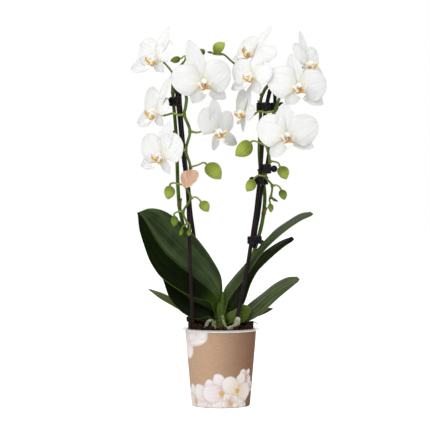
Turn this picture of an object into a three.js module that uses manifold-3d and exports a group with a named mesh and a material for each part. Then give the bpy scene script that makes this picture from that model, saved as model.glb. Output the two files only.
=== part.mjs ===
// Potted moth orchid: one plant with two arching flower spikes, tied to slim stakes,
// rooted in bark in a clear nursery pot that hangs by its flange in a tapered card cover pot.
// Millimetres, +Z up. The origin is the centre of the flat base of the cover pot,
// +X is to the right and -Y is the front, the side the flowers look at.

import * as THREE from 'three';
import { mergeVertices } from 'three/addons/utils/BufferGeometryUtils.js';
import Module from 'manifold-3d';

const wasm = await Module();
wasm.setup();

// ---------------------------------------------------------------- driving dimensions

const CLEARANCE = 0.4; // gap kept between pieces that touch on the real plant
const POT_SEGMENTS = 32;

const COVER = { topRadius: 41.2, baseRadius: 33.8, height: 87.8, wall: 1.0, heel: 2.5, floor: 1.2 };
const FLANGE = { radius: 45, thickness: 1.2, lip: 1.1 };
const NURSERY = { baseRadius: 30.6, wall: 0.9, floor: 1.2, drainRadius: 3, drainRing: 19, drains: 6 };
const BARK = { backRise: 5.5, level: 88.9, leftRise: 7, rightRise: 3.5, grain: 1.3, segments: 24, rings: 3 };
const CROWN = { x: 0, y: 1, profile: [[7, 78], [8.5, 89], [8, 99], [6.5, 107], [4.5, 113], [2, 117]] };

const STAKE_RADIUS = 2.2;
const THICK_STAKE_RADIUS = 2.4;
const HOOK_RADIUS = 1.3;
const SPIKE_RADIUS = 2.1;
const CASCADE_RADIUS = 1.6;
const TWIG_RADIUS = 1.25;
const PEDICEL_RADIUS = 1.0;
const PEDICEL_SEAT = 4.6; // how far behind a flower's centre its stalk ends
const ROOT_RADIUS = 2.7;
const SILVER_ROOT_RADIUS = 3.2;
const THIN_ROOT_RADIUS = 2.0;

const LEAF_THICKNESS = 1.7;
const PETAL_THICKNESS = 1.5;

// ---------------------------------------------------------------- finishes

const FINISH = {
  card: { color: 0xc49a77, roughness: 0.85 },
  clear: { color: 0xd9dcdc, roughness: 0.2 },
  bark: { color: 0x4a3122, roughness: 0.95 },
  leaf: { color: 0x2f4a1c, roughness: 0.45 },
  youngLeaf: { color: 0x7d9434, roughness: 0.5 },
  crown: { color: 0x6f8a35, roughness: 0.5 },
  stem: { color: 0x3f5c1d, roughness: 0.5 },
  root: { color: 0x9a9a82, roughness: 0.8 },
  stake: { color: 0x2a1a1e, roughness: 0.4 },
  clip: { color: 0x121212, roughness: 0.35 },
  tag: { color: 0xe3b391, roughness: 0.5 },
  petal: { color: 0xf7f7f4, roughness: 0.6 },
  bud: { color: 0xa3b84a, roughness: 0.55 },
};

// ---------------------------------------------------------------- solids and booleans

const group = new THREE.Group();

// A closed mesh as a solid that can be cut and joined.
function solidOf(geometry) {
  const bare = geometry.clone();
  bare.deleteAttribute('normal');
  bare.deleteAttribute('uv');
  const merged = mergeVertices(bare, 1e-4);
  return new wasm.Manifold(new wasm.Mesh({
    numProp: 3,
    vertProperties: new Float32Array(merged.attributes.position.array),
    triVerts: new Uint32Array(merged.index.array),
  }));
}

function geometryOf(solid) {
  const mesh = solid.getMesh();
  const geometry = new THREE.BufferGeometry();
  geometry.setAttribute('position', new THREE.Float32BufferAttribute(mesh.vertProperties, 3));
  geometry.setIndex(new THREE.Uint32BufferAttribute(mesh.triVerts, 1));
  geometry.computeVertexNormals();
  return geometry;
}

function joined(geometries) {
  return geometries.map(solidOf).reduce((whole, piece) => whole.add(piece));
}

function add(name, geometry, finish) {
  const material = new THREE.MeshStandardMaterial({ ...FINISH[finish], metalness: 0 });
  const mesh = new THREE.Mesh(geometry, material);
  mesh.name = name;
  group.add(mesh);
}

function vector(point) {
  return new THREE.Vector3(...point);
}

function smoothCurve(points) {
  return new THREE.CatmullRomCurve3(points.map((p) => (p.isVector3 ? p : vector(p))), false, 'centripetal');
}

// A round rod along a smooth curve, with flat ends.
function rod(points, radius, { sides = 7, step = 7 } = {}) {
  const curve = smoothCurve(points);
  const section = new THREE.Shape();
  for (let i = 0; i < sides; i += 1) {
    const angle = (2 * Math.PI * i) / sides;
    const corner = [radius * Math.cos(angle), radius * Math.sin(angle)];
    if (i === 0) section.moveTo(...corner);
    else section.lineTo(...corner);
  }
  section.closePath();
  const steps = Math.max(3, Math.round(curve.getLength() / step));
  return new THREE.ExtrudeGeometry(section, { steps, extrudePath: curve, bevelEnabled: false });
}

// A closed skin over a row of rings, drawn to a point at each end.
function skin(rings, first, last) {
  const count = rings[0].length;
  const points = [first, ...rings.flat(), last];
  const index = [];
  const at = (ring, i) => 1 + ring * count + (i % count);
  for (let i = 0; i < count; i += 1) {
    index.push(0, at(0, i + 1), at(0, i));
    for (let ring = 0; ring + 1 < rings.length; ring += 1) {
      index.push(at(ring, i), at(ring, i + 1), at(ring + 1, i + 1));
      index.push(at(ring, i), at(ring + 1, i + 1), at(ring + 1, i));
    }
    index.push(at(rings.length - 1, i), at(rings.length - 1, i + 1), points.length - 1);
  }
  const geometry = new THREE.BufferGeometry().setFromPoints(points);
  geometry.setIndex(index);
  return facingOut(geometry);
}

// Turns every face of a closed skin round if its volume comes out negative.
function facingOut(geometry) {
  const position = geometry.attributes.position;
  const order = geometry.index.array;
  const corner = [new THREE.Vector3(), new THREE.Vector3(), new THREE.Vector3()];
  let volume = 0;
  for (let i = 0; i < order.length; i += 3) {
    corner.forEach((c, k) => c.fromBufferAttribute(position, order[i + k]));
    volume += corner[0].dot(corner[1].clone().cross(corner[2]));
  }
  if (volume < 0) {
    for (let i = 0; i < order.length; i += 3) {
      [order[i + 1], order[i + 2]] = [order[i + 2], order[i + 1]];
    }
  }
  geometry.computeVertexNormals();
  return geometry;
}

function lathe(profile, segments) {
  const points = profile.map(([radius, height]) => new THREE.Vector2(radius, height));
  const geometry = new THREE.LatheGeometry(points, segments);
  geometry.rotateX(Math.PI / 2); // the turning axis becomes +Z
  return geometry;
}

function disc(radius, height, sides, x, y, z) {
  const geometry = new THREE.CylinderGeometry(radius, radius, height, sides);
  geometry.rotateX(Math.PI / 2);
  geometry.translate(x, y, z);
  return geometry;
}

// ---------------------------------------------------------------- pots

// Tapered card cover with a rounded heel, a floor and an open mouth.
function coverPot() {
  const { topRadius, baseRadius, height, wall, heel, floor } = COVER;
  const geometry = lathe([
    [0, 0],
    [baseRadius - heel, 0],
    [baseRadius - heel * 0.3, heel * 0.3],
    [baseRadius, heel],
    [topRadius, height],
    [topRadius - wall, height],
    [baseRadius - wall, heel + floor],
    [baseRadius - heel, floor],
    [0, floor],
  ], POT_SEGMENTS);
  return geometryOf(solidOf(facingOut(mergedSkin(geometry))));
}

function mergedSkin(geometry) {
  geometry.deleteAttribute('normal');
  geometry.deleteAttribute('uv');
  return mergeVertices(geometry, 1e-4);
}

const NURSERY_MOUTH = COVER.topRadius - COVER.wall - CLEARANCE; // outer radius just under the flange
const NURSERY_FLOOR = COVER.floor + CLEARANCE;
const FLANGE_BASE = COVER.height + CLEARANCE;

// Clear pot with a flat flange that rests on the cover's rim, and drain holes in its floor.
function nurseryPot() {
  const { baseRadius, wall, floor, drainRadius, drainRing, drains } = NURSERY;
  const top = FLANGE_BASE + FLANGE.thickness;
  const shell = lathe([
    [0, NURSERY_FLOOR],
    [baseRadius, NURSERY_FLOOR],
    [NURSERY_MOUTH - 0.6, FLANGE_BASE],
    [FLANGE.radius - 1, FLANGE_BASE],
    [FLANGE.radius - 1, FLANGE_BASE - FLANGE.lip],
    [FLANGE.radius, FLANGE_BASE - FLANGE.lip],
    [FLANGE.radius, top],
    [NURSERY_MOUTH - 0.6 - wall, top],
    [baseRadius - wall, NURSERY_FLOOR + floor],
    [0, NURSERY_FLOOR + floor],
  ], POT_SEGMENTS);
  let solid = solidOf(facingOut(mergedSkin(shell)));
  for (let i = 0; i < drains; i += 1) {
    const angle = (2 * Math.PI * i) / drains;
    const x = drainRing * Math.cos(angle);
    const y = drainRing * Math.sin(angle);
    solid = solid.subtract(solidOf(disc(drainRadius, 4 * floor, 8, x, y, NURSERY_FLOOR + floor / 2)));
  }
  return geometryOf(solid);
}

// ---------------------------------------------------------------- stakes and roots

const STAKES = {
  stake_left_front: {
    radius: STAKE_RADIUS,
    route: [
      [-24, -13, 30], [-31.5, -14.5, 88.5], [-34, -14, 134], [-36, -10.5, 194.5], [-37.5, -7.5, 231.5],
      [-38.5, -6, 248.5], [-43.5, -3.5, 289], [-47, -2.5, 323.5], [-50, -2, 352.5], [-51.5, -2, 372],
    ],
  },
  stake_left_rear: {
    radius: STAKE_RADIUS,
    route: [
      [-15, 21, 30], [-20.5, 24, 85.5], [-24.5, 20, 138.5], [-31.5, 9, 199], [-34.5, 6, 219.5],
      [-37, 3.5, 248.5], [-42, 3, 289], [-45, 3.5, 324], [-47, 4, 352.5], [-48, 4.5, 372],
    ],
  },
  stake_right_front: {
    radius: THICK_STAKE_RADIUS,
    route: [
      [11.5, -20, 30], [19, -18, 102.5], [29, -12.5, 152.5], [35.5, -8.5, 191.5], [39.5, -7, 216.5],
      [43, -6.5, 246.5], [46, -6, 277.5], [47.5, -5, 300.5], [49.5, -5, 327], [53.5, -5.5, 350],
      [56.5, -6, 363],
    ],
  },
  stake_right_rear: {
    radius: STAKE_RADIUS,
    route: [
      [38.3, 0.5, 183], [40, 0.5, 200], [43.5, 0.5, 220], [46.5, -0.5, 245], [50.5, -1.5, 262.5],
      [54, -1, 281], [58.5, 1, 318], [62.5, 2, 352.5], [62, 2, 363],
    ],
  },
};
const HOOK = [[56.3, -6, 361], [57.5, -6.5, 368], [54.5, -7.5, 372.5], [50, -8.5, 375.5], [47.5, -9, 373]];

const ROOTS = {
  root_silver: { radius: SILVER_ROOT_RADIUS, route: [[19, -26, 101], [18, -27, 96], [13.5, -25.5, 91], [6, -21, 88], [-1, -14, 84]] },
  root_green: { radius: ROOT_RADIUS, route: [[-7.5, -12, 96], [-8, -17, 91.5], [-6, -22, 87], [-3, -26, 82]] },
  root_left: { radius: THIN_ROOT_RADIUS, route: [[-10, -6.5, 98], [-14, -10, 97.5], [-17, -14, 92], [-18.5, -18, 85]] },
  root_right: { radius: THIN_ROOT_RADIUS, route: [[1.5, -9.5, 104], [3, -12, 98], [5.5, -14.5, 92.5], [9, -16, 85]] },
};

const STAKE_FACETS = { sides: 8, step: 16 };

function stake({ radius, route }, grow = 0) {
  return rod(route, radius + grow, STAKE_FACETS);
}

function root({ radius, route }, grow = 0) {
  return rod(route, radius + grow, { sides: 6, step: 5 });
}

function crown(grow = 0) {
  const profile = CROWN.profile.map(([radius, height]) => [radius + grow, height]);
  const foot = profile[0][1] - 3 - grow;
  const tip = profile.at(-1)[1] + 2 + grow;
  const geometry = lathe([[0, foot], ...profile, [0, tip]], 12);
  geometry.translate(CROWN.x, CROWN.y, 0);
  return facingOut(mergedSkin(geometry));
}

// ---------------------------------------------------------------- bark

// Height of the heaped bark: uneven, highest at the left rim and at the back.
function barkHeight(x, y) {
  const reach = NURSERY_MOUTH;
  const left = Math.max(0, -x / reach - 0.45) * BARK.leftRise * 1.8;
  const right = Math.max(0, x / reach - 0.45) * BARK.rightRise * 2.7;
  const back = Math.max(0, y / reach) * BARK.backRise;
  const grain = BARK.grain * (Math.sin(0.55 * x + 1.1) * Math.cos(0.47 * y) + 0.6 * Math.sin(0.9 * y + 0.3 * x));
  return BARK.level + left + right + back + grain;
}

// The bark fills the nursery pot, and is hollowed where stakes, roots and crown go into it.
function barkSubstrate() {
  const top = NURSERY_MOUTH - 0.6 - NURSERY.wall - CLEARANCE;
  const foot = NURSERY.baseRadius - NURSERY.wall - CLEARANCE;
  const bottom = NURSERY_FLOOR + NURSERY.floor + CLEARANCE;
  const shoulder = FLANGE_BASE - 6;
  const ringAt = (radius, heightOf) => Array.from({ length: BARK.segments }, (_, i) => {
    const angle = (2 * Math.PI * i) / BARK.segments;
    const x = radius * Math.cos(angle);
    const y = radius * Math.sin(angle);
    return new THREE.Vector3(x, y, heightOf(x, y));
  });
  const shoulderRadius = foot + (top - foot) * (shoulder / FLANGE_BASE);
  const rings = [ringAt(foot, () => bottom), ringAt(shoulderRadius - 0.3, () => shoulder)];
  for (let ring = BARK.rings; ring > 0; ring -= 1) {
    const radius = (top - 1) * (ring / BARK.rings);
    rings.push(ringAt(radius, barkHeight));
  }
  const heap = skin(rings, new THREE.Vector3(0, 0, bottom), new THREE.Vector3(0, 0, barkHeight(0, 0)));
  let solid = solidOf(heap);
  const guests = [
    stake(STAKES.stake_left_front, CLEARANCE),
    stake(STAKES.stake_left_rear, CLEARANCE),
    stake(STAKES.stake_right_front, CLEARANCE),
    ...Object.values(ROOTS).map((spec) => root(spec, CLEARANCE)),
    crown(CLEARANCE),
  ];
  for (const guest of guests) solid = solid.subtract(solidOf(guest));
  return geometryOf(largest(solid));
}

// Keeps the main body when a cut leaves crumbs behind.
function largest(solid) {
  return solid.decompose().reduce((best, piece) => (piece.volume() > best.volume() ? piece : best));
}

// ---------------------------------------------------------------- leaves

// Each leaf runs from its base to its tip along three lines: its rear edge, its midrib
// and its front edge.
const LEAVES = {
  leaf_left_large: {
    rear: [[1.8, 3, 131], [0.2, 5, 149], [-10, 6, 169], [-23, 5, 187.5], [-37.5, 3, 204], [-53, 1, 217],
      [-68, -2, 225.5], [-82.5, -6, 227.5], [-94, -9.5, 223.5]],
    midrib: [[-6, -3, 124.5], [-18, -3, 138], [-32.5, -3, 149.5], [-47, -3.5, 161], [-61, -4.5, 173.5],
      [-73.5, -6, 189.5], [-82.5, -8, 205], [-89.5, -9.5, 216.5], [-95, -10.3, 222]],
    front: [[-12.5, -8, 119.5], [-27.5, -9.5, 123.5], [-43.5, -10, 130.5], [-58.5, -10, 140],
      [-70, -10, 149.5], [-81, -10.5, 166], [-88, -11, 184.5], [-93.5, -11.5, 203], [-95.5, -11, 220.5]],
    tip: [-96.5, -11, 222.5],
  },
  leaf_left_middle: {
    rear: [[-6.5, 10, 117.5], [-18.5, 12.5, 125.5], [-36, 13, 137], [-52, 12.5, 145], [-66, 11.5, 149]],
    midrib: [[-10, 2, 109], [-20.5, 3, 114.5], [-34.5, 5, 121.5], [-49.5, 7, 133], [-67, 10.5, 147.5]],
    front: [[-14, -5.5, 102.5], [-26.5, -6, 99.8], [-42.5, -4, 106], [-58, 2, 121.5], [-67.5, 9.5, 145.5]],
    tip: [-69, 11, 148.5],
  },
  leaf_left_small: {
    rear: [[-11, 12, 101], [-26.5, 16, 109], [-47.5, 20, 119], [-67.5, 22, 128.5], [-82, 22, 133]],
    midrib: [[-13.5, 8, 99], [-29, 11, 103.5], [-48.5, 15, 113.5], [-68.5, 18, 124.5], [-83, 21, 132.5]],
    front: [[-17, 5, 97.5], [-31, 7, 98.5], [-49.5, 10, 110], [-70.5, 15, 122], [-83, 20, 131.5]],
    tip: [-85, 21, 133],
  },
  leaf_right_tall: {
    rear: [[4, 6, 133], [13, 6, 145.5], [28, 5, 163], [45.5, 5, 185], [63, 11, 203], [78, 15, 213],
      [93, 14, 221.4], [104, 7, 223.4]],
    midrib: [[6, 1, 128.5], [15, 1.5, 141.5], [30, 0.5, 159], [46.5, 0, 179.5], [65, 0, 197], [80, 0, 209.5],
      [93.5, 0, 217], [105, 1.5, 221]],
    front: [[9, -3, 123.5], [20, -3.5, 137.5], [33.5, -4, 155], [48, -5, 175.5], [65.5, -11, 193.5],
      [79.5, -14, 205.5], [92, -12, 213.6], [104.5, -3, 218.8]],
    tip: [107, 2, 221],
  },
  leaf_right_middle: {
    rear: [[6.5, 9, 117.5], [12, 10, 124], [17.5, 9, 136], [30.5, 8, 156.5], [43, 7, 171], [57, 8, 182],
      [71, 8, 190.4], [82.5, 5, 194.8]],
    midrib: [[8.5, 4, 112], [17, 3, 117], [25.5, 0, 133.5], [36, -2, 152.5], [48.5, -3, 169], [60, -3, 178.5],
      [71.5, -1, 186.5], [83, 2.5, 192.3]],
    front: [[12, -1.5, 104.5], [25, -3, 114], [35, -7, 140.5], [42.5, -9, 155], [52, -10, 165.5],
      [63, -9.5, 175.5], [74, -7, 184], [83, 0, 189.4]],
    tip: [85, 2.5, 192],
  },
  leaf_right_low: {
    rear: [[14.5, 5, 102], [21, 6, 107], [32.5, 10, 116.5], [48, 13, 128], [63, 14, 140], [77, 12, 147.4],
      [88.5, 7, 148.4]],
    midrib: [[15.5, 0, 98.5], [23.5, -1, 101], [36, 0, 109], [50, 0, 122], [63.5, 1, 133.5], [77.5, 2, 141],
      [89.5, 4, 145.5]],
    front: [[17, -4, 96], [26.5, -6, 95.8], [40.5, -6, 102], [54, -8, 113], [67, -7, 124.5], [79.5, -4, 134.6],
      [89.5, 1.5, 142.6]],
    tip: [91.5, 4, 145.5],
  },
  leaf_right_hidden: {
    rear: [[19, 16.5, 101], [26, 17, 103.5], [39, 24, 108.5], [50.5, 27, 111], [59.5, 26, 110.8]],
    midrib: [[20, 12.5, 98.5], [27, 13, 100.5], [40, 18, 104.5], [50.5, 22, 107.5], [60, 25, 110]],
    front: [[21, 9.5, 97], [28, 11, 98], [41, 14, 100.5], [51.5, 18, 104.5], [60, 23.5, 109]],
    tip: [61.5, 25, 110.2],
  },
  leaf_right_young: {
    rear: [[8.5, -6, 106.5], [16, -8.5, 111], [25, -9, 117], [32.5, -8.5, 114.5], [34.3, -8.5, 111]],
    midrib: [[10, -8, 98.5], [17.5, -10, 102.5], [24.5, -11, 106.5], [30, -10, 107.5], [34, -9, 108.5]],
    front: [[11.5, -10, 96], [18.5, -12.5, 96.3], [25, -13, 97], [31, -11.5, 101.5], [34, -9.5, 106.5]],
    tip: [35, -9, 108.8],
  },
};

// Thickness across a leaf at its quarter points, from edge to edge.
const LEAF_SECTION = [[0.25, 0.75], [0.5, 1], [0.75, 0.75]];

function leaf({ rear, midrib, front, tip }) {
  const lines = [rear, midrib, front].map(smoothCurve);
  const stations = Math.round(lines[1].getLength() / 12) + 2;
  const rings = [];
  for (let i = 0; i < stations; i += 1) {
    const t = i / (stations - 1);
    const [edgeA, middle, edgeB] = lines.map((line) => line.getPoint(t));
    const along = lines[1].getTangent(t);
    const up = edgeB.clone().sub(edgeA).cross(along).normalize();
    const across = (s) => {
      const straight = edgeA.clone().lerp(edgeB, s);
      const ridge = middle.clone().sub(edgeA.clone().lerp(edgeB, 0.5));
      return straight.addScaledVector(ridge, 1 - Math.abs(2 * s - 1));
    };
    const half = LEAF_THICKNESS / 2;
    const top = LEAF_SECTION.map(([s, k]) => across(s).addScaledVector(up, half * k));
    const under = LEAF_SECTION.map(([s, k]) => across(s).addScaledVector(up, -half * k)).reverse();
    rings.push([edgeA, ...top, edgeB, ...under]);
  }
  const heel = rings[0].reduce((sum, p) => sum.add(p), new THREE.Vector3()).divideScalar(rings[0].length);
  return skin(rings, heel, vector(tip));
}

// ---------------------------------------------------------------- flowers

// yaw turns a flower's face to the right, pitch lifts it, lean tips its lip to the right and drop
// lowers the lip. A flower's blades are its dorsal sepal, right and left petal, right and left
// sepal: angle from the crown, clockwise as one faces the flower, then reach and width.
const FLOWERS = {
  flower_01: { at: [-74.5, -12, 397.5], yaw: -44, pitch: 8, size: 1, drop: 3, lean: 15,
    blades: [[17, 41, 17], [47, 28, 26], [-59, 39, 34], [150, 15, 15], [-99, 47, 18]] },
  flower_02: { at: [-20.5, -34, 370], yaw: 16, pitch: -4, size: 1, drop: 3, lean: -12,
    blades: [[-19, 51, 21], [64, 37, 38], [-80, 37, 36], [120, 34, 17], [-157, 25, 19]] },
  flower_03: { at: [-74.5, -14, 336], yaw: -52, pitch: 8, size: 1, drop: 3, lean: 15,
    blades: [[18, 46, 15], [44, 22, 24], [-45, 40, 32], [150, 15, 14], [-101, 44, 20]] },
  flower_04: { at: [-68, -27, 286.5], yaw: -36, pitch: 0, size: 0.95, drop: 3, lean: 12,
    blades: [[13, 43, 22], [52, 34, 38], [-57, 38, 35], [158, 22, 13], [-107, 37, 18]] },
  flower_05: { at: [-4.5, -30, 314.5], yaw: 40, pitch: -8, size: 0.9, drop: 2, lean: -10,
    blades: [[-10, 43, 22], [52, 35, 30], [-45, 36, 36], [111, 43, 16], [174, 24, 14]] },
  flower_06: { at: [36, 14, 405], yaw: -50, pitch: 35, size: 1, drop: 3, lean: 25,
    blades: [[1, 46, 18], [91, 37, 30], [-55, 46, 34], [125, 28, 18], [-86, 41, 22]] },
  flower_07: { at: [35.5, -30, 377], yaw: -38, pitch: 6, size: 0.9, drop: 3, lean: 8,
    blades: [[15, 36, 20], [73, 29, 30], [-67, 38, 34], [155, 23, 15], [-110, 39, 17]] },
  flower_08: { at: [26.5, -15, 335.5], yaw: -62, pitch: 4, size: 0.85, drop: 2, lean: 0,
    blades: [[9, 40, 20], [80, 22, 22], [-43, 41, 38], [-155, 25, 16], [-111, 31, 12]] },
  flower_09: { at: [99.5, 2, 391.5], yaw: 50, pitch: 12, size: 0.95, drop: 3, lean: -12,
    blades: [[4, 46, 15], [56, 38, 27], [-25, 31, 26], [105, 40, 16], [-157, 22, 10]] },
  flower_10: { at: [87.5, -34, 364.5], yaw: 14, pitch: 4, size: 1, drop: 2.5, lean: -8,
    blades: [[-9, 40, 19], [79, 36, 38], [-68, 37, 38], [119, 36, 18], [-147, 22, 18]] },
  flower_11: { at: [74.5, -44, 308.5], yaw: 8, pitch: 2, size: 1, drop: 2.5, lean: -5,
    blades: [[-4, 39, 22], [67, 40, 36], [-65, 36, 38], [109, 34, 15], [-141, 28, 18]] },
};
const BLADE_BENDS = [-3, -4.5, -4.5, -4, -4];
const SEPAL_FORM = [[0.06, 0.28], [0.42, 1], [0.8, 0.72]];
const PETAL_FORM = [[0.06, 0.2], [0.3, 0.82], [0.62, 1], [0.88, 0.66]];

function flowerAxes({ yaw, pitch }) {
  const [y, p] = [yaw, pitch].map(THREE.MathUtils.degToRad);
  const face = new THREE.Vector3(Math.sin(y) * Math.cos(p), -Math.cos(y) * Math.cos(p), Math.sin(p));
  const right = new THREE.Vector3(Math.cos(y), Math.sin(y), 0);
  return { face, right, up: face.clone().cross(right) };
}

// One petal or sepal in the flower's own frame: x to its right, y to its crown, z to its face.
function blade({ angle, reach, width, bend }, form, layer, size) {
  const a = THREE.MathUtils.degToRad(angle);
  const out = new THREE.Vector3(Math.sin(a), Math.cos(a), 0);
  const sideways = new THREE.Vector3(Math.cos(a), -Math.sin(a), 0);
  const spine = (t) => {
    const point = out.clone().multiplyScalar(2 + (reach * size - 2) * t);
    point.z = layer + bend * t * t;
    return point;
  };
  const rings = form.map(([t, k]) => {
    const half = (width * size * k) / 2;
    const edge = (sign) => spine(t).addScaledVector(sideways, sign * half).setZ(layer + bend * t * t - 0.06 * half);
    const face = (sign) => spine(t).add(new THREE.Vector3(0, 0, (sign * PETAL_THICKNESS) / 2));
    return [edge(-1), face(1), edge(1), face(-1)];
  });
  return skin(rings, spine(0), spine(1));
}

// Lip: two upright side lobes and a tongue that ends in a narrow tip, under the column. Its claw
// starts at the flower's middle, and the rest hangs lower by drop.
function lip(size, drop) {
  const low = ([x, y, z]) => new THREE.Vector3(x, y - drop * Math.min(1, z / 6), z).multiplyScalar(size);
  const lobe = (sign) => skin([
    [[1.5, -1, 2], [4.5, -3, 3.5], [2.5, -4.5, 2]],
    [[4.5, -0.5, 7], [7.5, -1.5, 7.5], [5, -4.5, 6]],
    [[5.5, 1.5, 11], [7.5, 1, 10.5], [6, -1, 10]],
  ].map((ring) => ring.map(([x, y, z]) => low([sign * x, y, z]))),
  new THREE.Vector3(sign * 2, -2.5, 0.5), low([sign * 6.5, 2.5, 12.5]));
  const tongue = skin([
    [[-3, -3, 3], [0, -1.5, 4], [3, -3, 3], [0, -4.5, 3]],
    [[-4.5, -7, 9], [0, -4, 9.5], [4.5, -7, 9], [0, -7, 7.5]],
    [[-3, -10, 12], [0, -8.5, 12.5], [3, -10, 12], [0, -10.5, 10.5]],
  ].map((ring) => ring.map(low)), new THREE.Vector3(0, -2, 1), low([0, -13, 13]));
  return [lobe(1), lobe(-1), tongue];
}

function column(size) {
  const stalk = lathe([[0, -3], [2.9, -1.8], [2.3, 3], [2.3, 7], [0, 8.6]], 7);
  stalk.scale(size, size, size);
  stalk.rotateX(0.12);
  return facingOut(mergedSkin(stalk));
}

function flower(spec) {
  const { size } = spec;
  const lean = new THREE.Matrix4().makeRotationZ(-THREE.MathUtils.degToRad(spec.lean));
  const pieces = [column(size), ...lip(size, spec.drop)].map((piece) => piece.applyMatrix4(lean));
  spec.blades.forEach(([angle, reach, width], i) => {
    const isPetal = i === 1 || i === 2;
    const outline = { angle, reach, width: width * 0.95, bend: BLADE_BENDS[i] * size };
    pieces.push(blade(outline, isPetal ? PETAL_FORM : SEPAL_FORM, isPetal ? 0.3 : -1.4, size));
  });
  const geometry = geometryOf(joined(pieces));
  const { face, right, up } = flowerAxes(spec);
  geometry.applyMatrix4(new THREE.Matrix4().makeBasis(right, up, face).setPosition(...spec.at));
  return geometry;
}

// ---------------------------------------------------------------- buds

const BUDS = {
  bud_01: { at: [-52.5, -6, 398.5], tip: [-1, 0, -0.25], length: 11.5, width: 8 },
  bud_02: { at: [-23, -8, 407.5], tip: [-1, 0, 0.1], length: 10, width: 8 },
  bud_03: { at: [-1.5, -16, 412], tip: [0.75, 0, 0.66], length: 16, width: 12.5 },
  bud_04: { at: [-8, -17, 269.5], tip: [0.7, 0, -0.7], length: 23, width: 18 },
  bud_05: { at: [-59.5, -16, 245.5], tip: [-0.15, 0, -1], length: 15.5, width: 13 },
  bud_06: { at: [-18.5, -18, 229.5], tip: [0.6, 0, -0.8], length: 14, width: 12 },
  bud_07: { at: [-53.5, -17, 213], tip: [0, 0, -1], length: 12, width: 9 },
  bud_08: { at: [-36.5, -20, 199.5], tip: [-0.1, 0, -1], length: 7.5, width: 5.5 },
  bud_09: { at: [-45.5, -18, 200.5], tip: [-0.3, 0, -1], length: 9, width: 4.6 },
  bud_10: { at: [25.5, -16, 295.5], tip: [-0.75, 0, -0.66], length: 23, width: 18 },
  bud_11: { at: [71.5, -17, 268], tip: [0.45, 0, -0.9], length: 16, width: 13.5 },
  bud_12: { at: [33.5, -17, 253.5], tip: [-0.5, 0, -0.85], length: 15, width: 12.5 },
  bud_13: { at: [71, -17, 243], tip: [0.35, 0, -0.94], length: 12, width: 9.5 },
  bud_14: { at: [57, -15, 228], tip: [0.1, 0, -1], length: 10, width: 6.5 },
};
// radius and height of a bud of unit width and length, from stalk to tip
const BUD_FORM = [[0.3, 0.05], [0.47, 0.27], [0.48, 0.5], [0.34, 0.78], [0.12, 0.96]];

function bud({ at, tip, length, width }) {
  const profile = BUD_FORM.map(([radius, height]) => [radius * width, (height - 0.5) * length]);
  const geometry = lathe([[0, -length / 2], ...profile, [0, length / 2]], 8);
  const turn = new THREE.Quaternion().setFromUnitVectors(new THREE.Vector3(0, 0, 1), vector(tip).normalize());
  geometry.applyQuaternion(turn);
  geometry.translate(...at);
  return facingOut(mergedSkin(geometry));
}

function budSeat(name, distance) {
  const { at, tip, length } = BUDS[name];
  return vector(at).addScaledVector(vector(tip).normalize(), -length / 2 - distance);
}

function flowerSeat(name, distance) {
  const spec = FLOWERS[name];
  return vector(spec.at).addScaledVector(flowerAxes(spec).face, -distance);
}

// ---------------------------------------------------------------- flower spikes

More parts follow.
